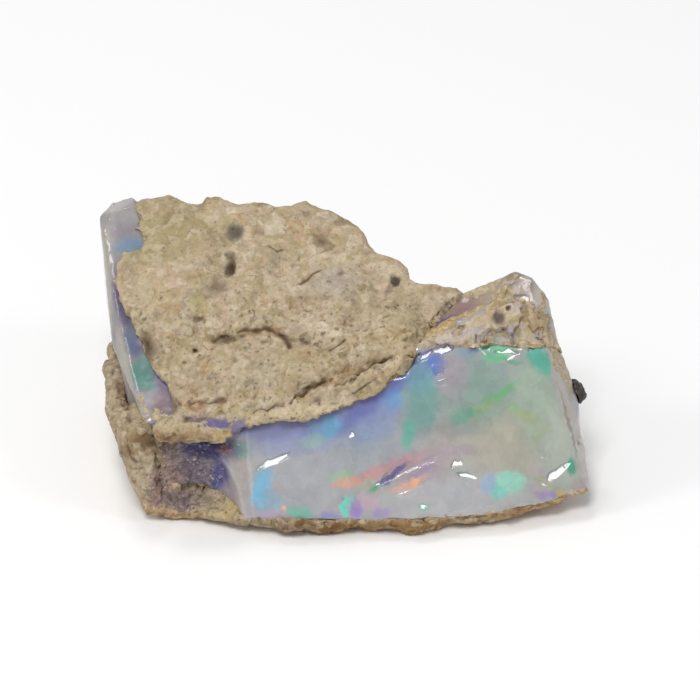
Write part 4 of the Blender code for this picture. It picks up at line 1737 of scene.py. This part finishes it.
CAP_MARKS: Marks = reaching(2.0, {
    "olive tint": Mark((166, 236), (3.8, 2.6), 0, (160, 146, 106), 0.7, 0.6),
    "grey patch": Mark((235, 232), (0.7, 0.75), 0, (136, 134, 130), 0.85, 0.4),
    "brownish patch": Mark((213, 237), (0.6, 0.7), 0, (152, 132, 104), 0.6),
    "dark pit": Mark((231, 256), (0.45, 0.35), 0, (100, 92, 70)),
    "long dark pit": Mark((231, 270), (0.35, 0.7), -10, (92, 80, 62), 0.85),
    "grey-brown wedge": Mark((217, 286), (1.1, 0.9), -20, (150, 136, 116), 0.7),
    "olive grain": Mark((197, 303), (0.85, 0.9), 0, (164, 150, 108), 0.9, 0.25),
    "small dark spot": Mark((196, 351), (0.28, 0.18), 20, (50, 40, 34), 0.95, 0.4),
    "olive pit": Mark((226, 339), (0.8, 0.35), 10, (136, 120, 88)),
    "brown ledge": Mark((262, 330), (1.8, 0.28), 2, (146, 116, 82), 0.7),
    "brown ledge, right": Mark((285, 338), (0.9, 0.3), -50, (146, 116, 82), 0.7),
    "pale boss": Mark((252, 368), (2.2, 1.8), 0, (188, 174, 146), 0.6),
    "grey in the boss": Mark((250, 383), (0.5, 0.4), 0, (156, 146, 122), 0.7),
    "lilac-grey field": Mark((335, 280), (2.0, 1.4), 10, (172, 160, 150), 0.7, 0.6),
    "spot in the field": Mark((340, 271), (0.3, 0.35), 0, (104, 92, 84)),
    "second spot": Mark((329, 282), (0.25, 0.25), 0, (104, 88, 80), 0.7),
    "brown spot": Mark((320, 238), (0.7, 0.6), -30, (150, 126, 96), 0.7),
    "dark spot": Mark((304, 342), (0.4, 0.2), -20, (100, 80, 60)),
    "olive spot": Mark((325, 347), (0.6, 0.25), 10, (146, 130, 92), 0.7),
    "red-brown spot": Mark((221, 400), (0.55, 0.3), 0, (124, 84, 56)),
    "brown streak": Mark((196, 405), (0.8, 0.4), 0, (140, 106, 72), 0.7),
    "big speck": Mark((395, 281), (0.45, 0.5), 0, (74, 70, 64), 0.9, 0.4),
    "speck's tail": Mark((389, 290), (0.3, 0.5), -30, (112, 100, 84), 0.7),
    "dot": Mark((418, 314), (0.2, 0.2), 0, (72, 68, 60), 0.9, 0.4),
    "olive field, right": Mark((400, 310), (2.4, 1.8), 30, (172, 158, 128), 0.6, 0.6),
    "pinkish end": Mark((446, 298), (1.8, 0.9), 20, (172, 156, 138), 0.6),
    "yellowish front": Mark((398, 350), (1.4, 2.2), 40, (180, 156, 112), 0.6, 0.6),
    "yellowish rim": Mark((372, 396), (2.4, 0.6), 32, (190, 168, 126), 0.7),
    "cream rim": Mark((300, 414), (4.4, 0.6), 8, (212, 194, 158), 0.85),
    "brown by the crack": Mark((345, 374), (2.4, 0.5), 22, (162, 128, 88), 0.5, 0.6),
    "brown, low left": Mark((190, 390), (1.0, 1.0), 0, (168, 140, 104), 0.5, 0.6),
    # Painted light: the shaded side of the cap's thin end is painted paler.
    "painted light on the thin end's side": Mark((448, 306), (2.6, 0.6), 34, (204, 186, 156)),
    "ledge": Mark((196, 436), (4.2, 0.5), -3, (166, 138, 98), 0.7),
    "ledge, yellow": Mark((226, 436), (1.0, 0.4), 0, (178, 156, 104), 0.7),
    # Painted shadow: a dark brown band along the ledge's foot.
    "painted shadow along the ledge": Mark((172, 438), (1.6, 0.35), -4, (124, 92, 58), 0.7),
    "ledge's end": Mark((164, 422), (1.0, 0.8), 0, (180, 164, 132), 0.6),
})
CAP_GLASS: Marks = reaching(2.0, {
    "violet in the ledge": Mark((217, 424), (1.3, 0.5), 0, (104, 96, 142), 0.95, 0.4),
    "violet, right of it": Mark((240, 430), (0.7, 0.9), 0, (128, 122, 160), 0.85, 0.4),
    "mauve, left of it": Mark((196, 418), (0.6, 0.4), 0, (142, 122, 134), 0.6, 0.4),
})
CAP_FINISH = RockFinish(
    name="sandy rock",
    clouds=(
        (0.34, (160, 143, 106)),
        (0.43, (184, 166, 132)),
        (0.50, (176, 158, 126)),
        (0.57, (190, 170, 144)),
        (0.66, (202, 187, 160)),
    ),
    light=(214, 202, 178),
    dark=(132, 106, 76),
    hollow=(74, 50, 30),
    marks=CAP_MARKS,
    glass=CAP_GLASS,
)
CAP_CUTS = {
    "small crack, left": Cut(
        ((254, 413), (261, 409), (268, 411), (275, 406), (284, 407)), 0.20, 0.20
    ),
    "main crack": Cut(
        (
            *((291, 403), (296, 396), (303, 395), (308, 388)),
            *((316, 386), (324, 382), (338, 383), (351, 380)),
        ),
        0.22,
        0.45,
    ),
    "crack, right": Cut(
        ((354, 379), (361, 373), (367, 371), (374, 364), (382, 362), (390, 357)), 0.24, 0.3
    ),
    "arc ledge, left": Cut(((214, 341), (220, 337), (228, 337)), 0.26, 0.20),
    "arc ledge": Cut(
        ((238, 332), (246, 330), (256, 331), (266, 328), (272, 331), (279, 336)), 0.20, 0.14
    ),
    "arc ledge, right": Cut(((279, 334), (285, 339), (289, 346)), 0.22, 0.16),
    "crack, low right": Cut(((356, 392), (366, 385), (376, 378)), 0.14, 0.12),
    "crack, low left": Cut(((192, 404), (200, 401), (208, 404), (216, 402)), 0.18, 0.16),
    "crack, over the ledge": Cut(((186, 418), (196, 421), (206, 418)), 0.16, 0.14),
    "crack, upper": Cut(((300, 284), (308, 279), (313, 274), (321, 270)), 0.12, 0.08),
    "crack, middle": Cut(((330, 350), (338, 346), (345, 340)), 0.12, 0.10),
    "crack, back": Cut(((268, 246), (276, 252), (283, 250)), 0.12, 0.08),
}
CAP_DENTS = {
    "grey pit": Dent((235, 232), (0.8, 0.9), 0, 0.22),
    "dark pit": Dent((231, 268), (0.5, 1.0), -10, 0.30),
    "wedge": Dent((217, 286), (1.0, 0.8), 0, 0.14),
    "brown spot": Dent((320, 240), (0.8, 0.7), -30, 0.18),
    "olive pit": Dent((226, 339), (0.8, 0.4), 10, 0.25),
    "big speck": Dent((395, 281), (0.4, 0.5), 0, 0.25),
    "small dark spot": Dent((196, 351), (0.25, 0.2), 20, 0.20),
    "dark spot": Dent((304, 342), (0.4, 0.25), 0, 0.20),
    "boss": Dent((254, 368), (2.6, 2.2), 0, -0.22),
    "red-brown spot": Dent((221, 400), (0.5, 0.3), 0, 0.20),
    "fill over the ledge": Dent((188, 418), (2.4, 0.8), -6, -0.25),
    "left edge": Dent((145, 346), (1.2, 1.6), 35, 0.35),
    "thin end's corner": Dent((410, 356), (0.9, 0.8), 0, -0.45),
}

BASE_MARKS: Marks = reaching(2.0, {
    # Painted shadow: dark brown under the overhanging ledge.
    "painted shadow under the ledge, left": Mark((146, 438), (1.4, 0.8), -4, (118, 88, 54)),
    "yellow crystals": Mark((222, 508), (1.3, 0.8), 0, (196, 176, 126), 0.85),
    "orange foot": Mark((172, 512), (2.2, 0.5), -6, (176, 134, 86)),
    "left column": Mark((112, 368), (0.8, 4.0), 0, (160, 144, 120), 0.7),
    "left column, low": Mark((122, 420), (1.2, 2.4), 8, (170, 154, 126), 0.7),
    "brown stripe": Mark((128, 404), (0.35, 1.6), 12, (122, 94, 66)),
    "pale lump": Mark((138, 478), (1.2, 1.8), 20, (182, 166, 140), 0.7),
    "brown spot": Mark((126, 452), (0.6, 0.6), 0, (128, 102, 72), 0.6),
    "skin, dark": Mark((316, 530), (2.8, 0.7), 0, (122, 86, 46), 0.9),
    "skin, dark, left": Mark((296, 529), (1.4, 0.7), 0, (112, 80, 44), 0.9),
    "skin, dark, right": Mark((344, 529), (1.6, 0.6), 0, (126, 92, 52), 0.9),
    "skin, middle": Mark((400, 529), (5.0, 0.7), 4, (150, 114, 68), 0.85),
    "skin, left": Mark((250, 522), (1.8, 0.5), 0, (158, 140, 114), 0.7),
    "skin, right": Mark((528, 509), (4.0, 0.7), 8, (168, 132, 92)),
})
BASE_SUGAR: Marks = reaching(2.4, {
    "pink-brown": Mark((160, 484), (1.0, 2.0), -10, (150, 124, 114), 1.0),
    "grey-violet": Mark((186, 500), (2.2, 0.9), 0, (138, 120, 118), 1.0),
    "pale foot": Mark((214, 502), (1.6, 0.8), 0, (172, 156, 130)),
})
BASE_FINISH = RockFinish(
    name="brown crust",
    clouds=(
        (0.36, (144, 118, 86)),
        (0.46, (176, 156, 126)),
        (0.54, (166, 142, 110)),
        (0.64, (194, 178, 150)),
    ),
    light=(212, 198, 172),
    dark=(104, 80, 56),
    hollow=(84, 60, 38),
    marks=BASE_MARKS,
    sugar=BASE_SUGAR,
    contrast=0.45,
    blotches=0.45,
)
BASE_DENTS = {
    "column beside the hollow": Dent((152, 470), (0.8, 2.6), 0, -0.5),
    "column beside the ledge": Dent((144, 430), (0.7, 1.0), 0, -0.5),
}
BASE_CUTS = {
    "column crack": Cut(((112, 372), (118, 388), (122, 404), (130, 420)), 0.22, 0.22),
    "column crack, low": Cut(((126, 446), (130, 456), (136, 462)), 0.2, 0.16),
}

RIDGE_MARKS: Marks = reaching(2.0, {
    "dark mauve spot": Mark((499, 318), (0.55, 0.6), 0, (110, 98, 102), 0.9, 0.4),
    "glassy hollow": Mark((506, 330), (1.1, 0.4), 20, (182, 170, 168)),
    "right side": Mark((540, 330), (0.8, 1.2), 0, (178, 160, 128), 0.6),
    "pale end": Mark((455, 334), (2.2, 0.5), 14, (200, 186, 162)),
    "lilac end": Mark((478, 334), (1.0, 0.5), 14, (186, 172, 170)),
})
RIDGE_GLASS: Marks = reaching(2.0, {
    "facet, left": Mark((462, 337), (2.6, 0.5), 10, (190, 176, 166), 0.9, 0.4),
    "facet, middle": Mark((506, 334), (1.2, 0.7), 10, (184, 172, 170), 1.0, 0.4),
    "facet, right": Mark((536, 338), (0.9, 0.4), 0, (180, 172, 160), 0.8, 0.4),
    "facet, upper": Mark((516, 306), (0.9, 0.5), 20, (188, 174, 164), 0.8, 0.4),
})
RIDGE_FINISH = RockFinish(
    name="ridge rock",
    clouds=((0.38, (176, 152, 112)), (0.5, (196, 178, 142)), (0.62, (204, 190, 164))),
    light=(216, 204, 182),
    dark=(126, 98, 66),
    hollow=(104, 80, 56),
    marks=RIDGE_MARKS,
    glass=RIDGE_GLASS,
    seams=0.1,
    hollow_shade_strength=0.5,
)
RIDGE_DENTS = {"dark mauve spot": Dent((499, 318), (0.55, 0.6), 0, 0.25)}


@dataclass
class DarkGrain:
    """The black grain in the right edge.

    inset is how far it is pushed into the opal, and tones are its ground, light and dark grains.
    """

    node: str = "dark_grain"
    slot: Slot = Slot.GRAIN
    step: float = 0.05
    chip: float = 0.10
    inset: float = 0.3
    tones: tuple[Colour, ...] = ((52, 50, 48), (128, 124, 118), (18, 18, 20))

    def build(self, frame: dict) -> FineSurface:
        """Nets and shapes the grain.

        Args:
            frame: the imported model.

        Returns:
            The grain's fine surface.
        """
        fine = FineSurface(frame["nodes"][self.node], "black_grain", self.step)
        near, _, pick = grains(fine.points, 0.5, Seed.GRAIN)
        rough = 0.4 * waves(fine.points, 0.3, Seed.GRAIN_ROUGH, 2)
        fine.push(self.chip * ((pick - 0.5) + (0.6 - near) + rough))
        fine.points[:, 0] -= self.inset
        fine.write()
        return fine

    def dress(self, fine: FineSurface, effects: Effects) -> None:
        """Gives the grain its material.

        Args:
            fine: the grain's surface.
            effects: the shared node groups.
        """
        work = Dress("black grain", effects, fine.tree())
        tree = work.tree
        ground, light, dark = (paint(*part) for part in self.tones)
        sand = tree.place_group(
            effects.sand,
            Place=work.place,
            Scale=4.0,
            Ground=ground,
            Light_Grain=light,
            Dark_Grain=dark,
            Contrast=0.6,
        ).outputs
        rough = tree.ease(tree.noise(work.place, 3.0, 2.0), 0.3, 0.7, 0.3, 0.6)
        normal = work.bump(sand["Height"], 0.6, 0.06)
        work.set(Base_Color=sand["Colour"], Roughness=rough, Normal=normal)
        fine.piece.data.materials.append(work.material)


# ---- The studio --------------------------------------------------------------------------------


@dataclass(frozen=True)
class Lamp:
    """One soft box: where it hangs, the length of its sides and its power."""

    place_m: tuple[float, float, float]
    size_m: float
    power: float


@dataclass
class Studio:
    """The plain pale floor, the soft light and the camera."""

    floor_m: float = 3.0
    floor_tone: float = 0.96
    sky: float = 0.40

    @property
    def lamps(self) -> dict[str, Lamp]:
        """The soft boxes by name."""
        return {
            "front soft box": Lamp((-0.07, -0.25, 0.48), 0.17, 1.30),
            "back soft box": Lamp((-0.10, 0.20, 0.50), 0.12, 0.48),
            "left soft box": Lamp((-0.40, -0.05, 0.30), 0.10, 0.35),
            "right soft box": Lamp((0.38, -0.15, 0.34), 0.08, 0.22),
        }

    def lay_floor(self) -> None:
        """Makes the floor, which reaches past the picture's edges."""
        bpy.ops.mesh.primitive_plane_add(size=self.floor_m, location=(0, 0, -0.00002))
        floor = bpy.context.object
        floor.name = "floor"
        made = bpy.data.materials.new("pale floor")
        made.use_nodes = True
        shader = made.node_tree.nodes["Principled BSDF"]
        shader.inputs["Base Color"].default_value = (*[self.floor_tone] * 3, 1)
        shader.inputs["Roughness"].default_value = 0.9
        shader.inputs["Specular IOR Level"].default_value = 0.1
        floor.data.materials.append(made)

    def hang_lamps(self) -> None:
        """Makes the soft boxes, which all face the specimen."""
        for name, lamp in self.lamps.items():
            light = bpy.data.lights.new(name, "AREA")
            light.size = lamp.size_m
            light.energy = lamp.power
            hung = bpy.data.objects.new(name, light)
            hung.location = lamp.place_m
            hung.rotation_mode = "QUATERNION"
            hung.rotation_quaternion = (-Vector(lamp.place_m)).to_track_quat("-Z", "Y")
            bpy.context.scene.collection.objects.link(hung)

    def build(self) -> None:
        """Makes the floor, the light, the pale room and the camera."""
        self.lay_floor()
        self.hang_lamps()
        room = bpy.data.worlds.new("pale room")
        room.use_nodes = True
        light = room.node_tree.nodes["Background"].inputs
        light["Color"].default_value = (1, 1, 1, 1)
        light["Strength"].default_value = self.sky
        bpy.context.scene.world = room
        bpy.context.scene.view_settings.view_transform = "Standard"
        SIGHT.camera()


def solid_tree(node: bpy.types.Object) -> BVHTree:
    """A solid of the frame as a searchable tree, in millimetres."""
    points = [corner.co / MM for corner in node.data.vertices]
    return BVHTree.FromPolygons(points, [tuple(face.vertices) for face in node.data.polygons])


def settle(piece: RockPiece | OpalMass | DarkGrain, fine: FineSurface, effects: Effects) -> None:
    """Dresses a piece and puts it in the place of its solid.

    Args:
        piece: what it is.
        fine: its surface.
        effects: the shared node groups.
    """
    piece.dress(fine, effects)
    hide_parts(piece.node)
    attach(fine.piece, BODY)
    LOG.info("%s: %d faces", fine.piece.name, len(fine.piece.data.polygons))


def host_rocks() -> list[RockPiece]:
    """Lists the pieces of the host rock.

    Returns:
        The cap, the base and the patch on the ridge.
    """
    cap = RockPiece(
        node="cap_rock",
        name="sandy_cap",
        slot=Slot.SANDY,
        step=0.13,
        finish=CAP_FINISH,
        relief=RockRelief(calm_above=13.5),
        cuts=CAP_CUTS,
        dents=CAP_DENTS,
    )
    base = RockPiece(
        node="base_rock",
        name="brown_base",
        slot=Slot.CRUST,
        step=0.16,
        finish=BASE_FINISH,
        relief=RockRelief(lump=0.12, seed=Seed.BASE),
        cuts=BASE_CUTS,
        dents=BASE_DENTS,
    )
    thin = {"lump": 0.05, "chip": 0.10, "grain": 0.07, "pit": 0.0, "ragged": 0.9, "thinner": 0.45}
    ridge = RockPiece(
        node="peak_rock",
        name="ridge_patch",
        slot=Slot.RIDGE,
        step=0.08,
        finish=RIDGE_FINISH,
        relief=RockRelief(seed=Seed.RIDGE, **thin),
        cuts={},
        dents=RIDGE_DENTS,
    )
    return [cap, base, ridge]


def main() -> None:
    """Builds the specimen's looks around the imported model."""
    logging.basicConfig(level=logging.INFO, format="%(name)s %(message)s")
    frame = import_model()
    effects = Effects()
    solids = {name: solid_tree(node) for name, node in frame["nodes"].items()}
    for rock in host_rocks():
        settle(rock, rock.build(frame, solids["opal"]), effects)
    opal = OpalMass()
    rocks = {name: solids[name] for name in ("cap_rock", "base_rock")}
    settle(opal, opal.build(frame, rocks), effects)
    grain = DarkGrain()
    settle(grain, grain.build(frame), effects)
    Studio().build()


if __name__ == "__main__":
    main()
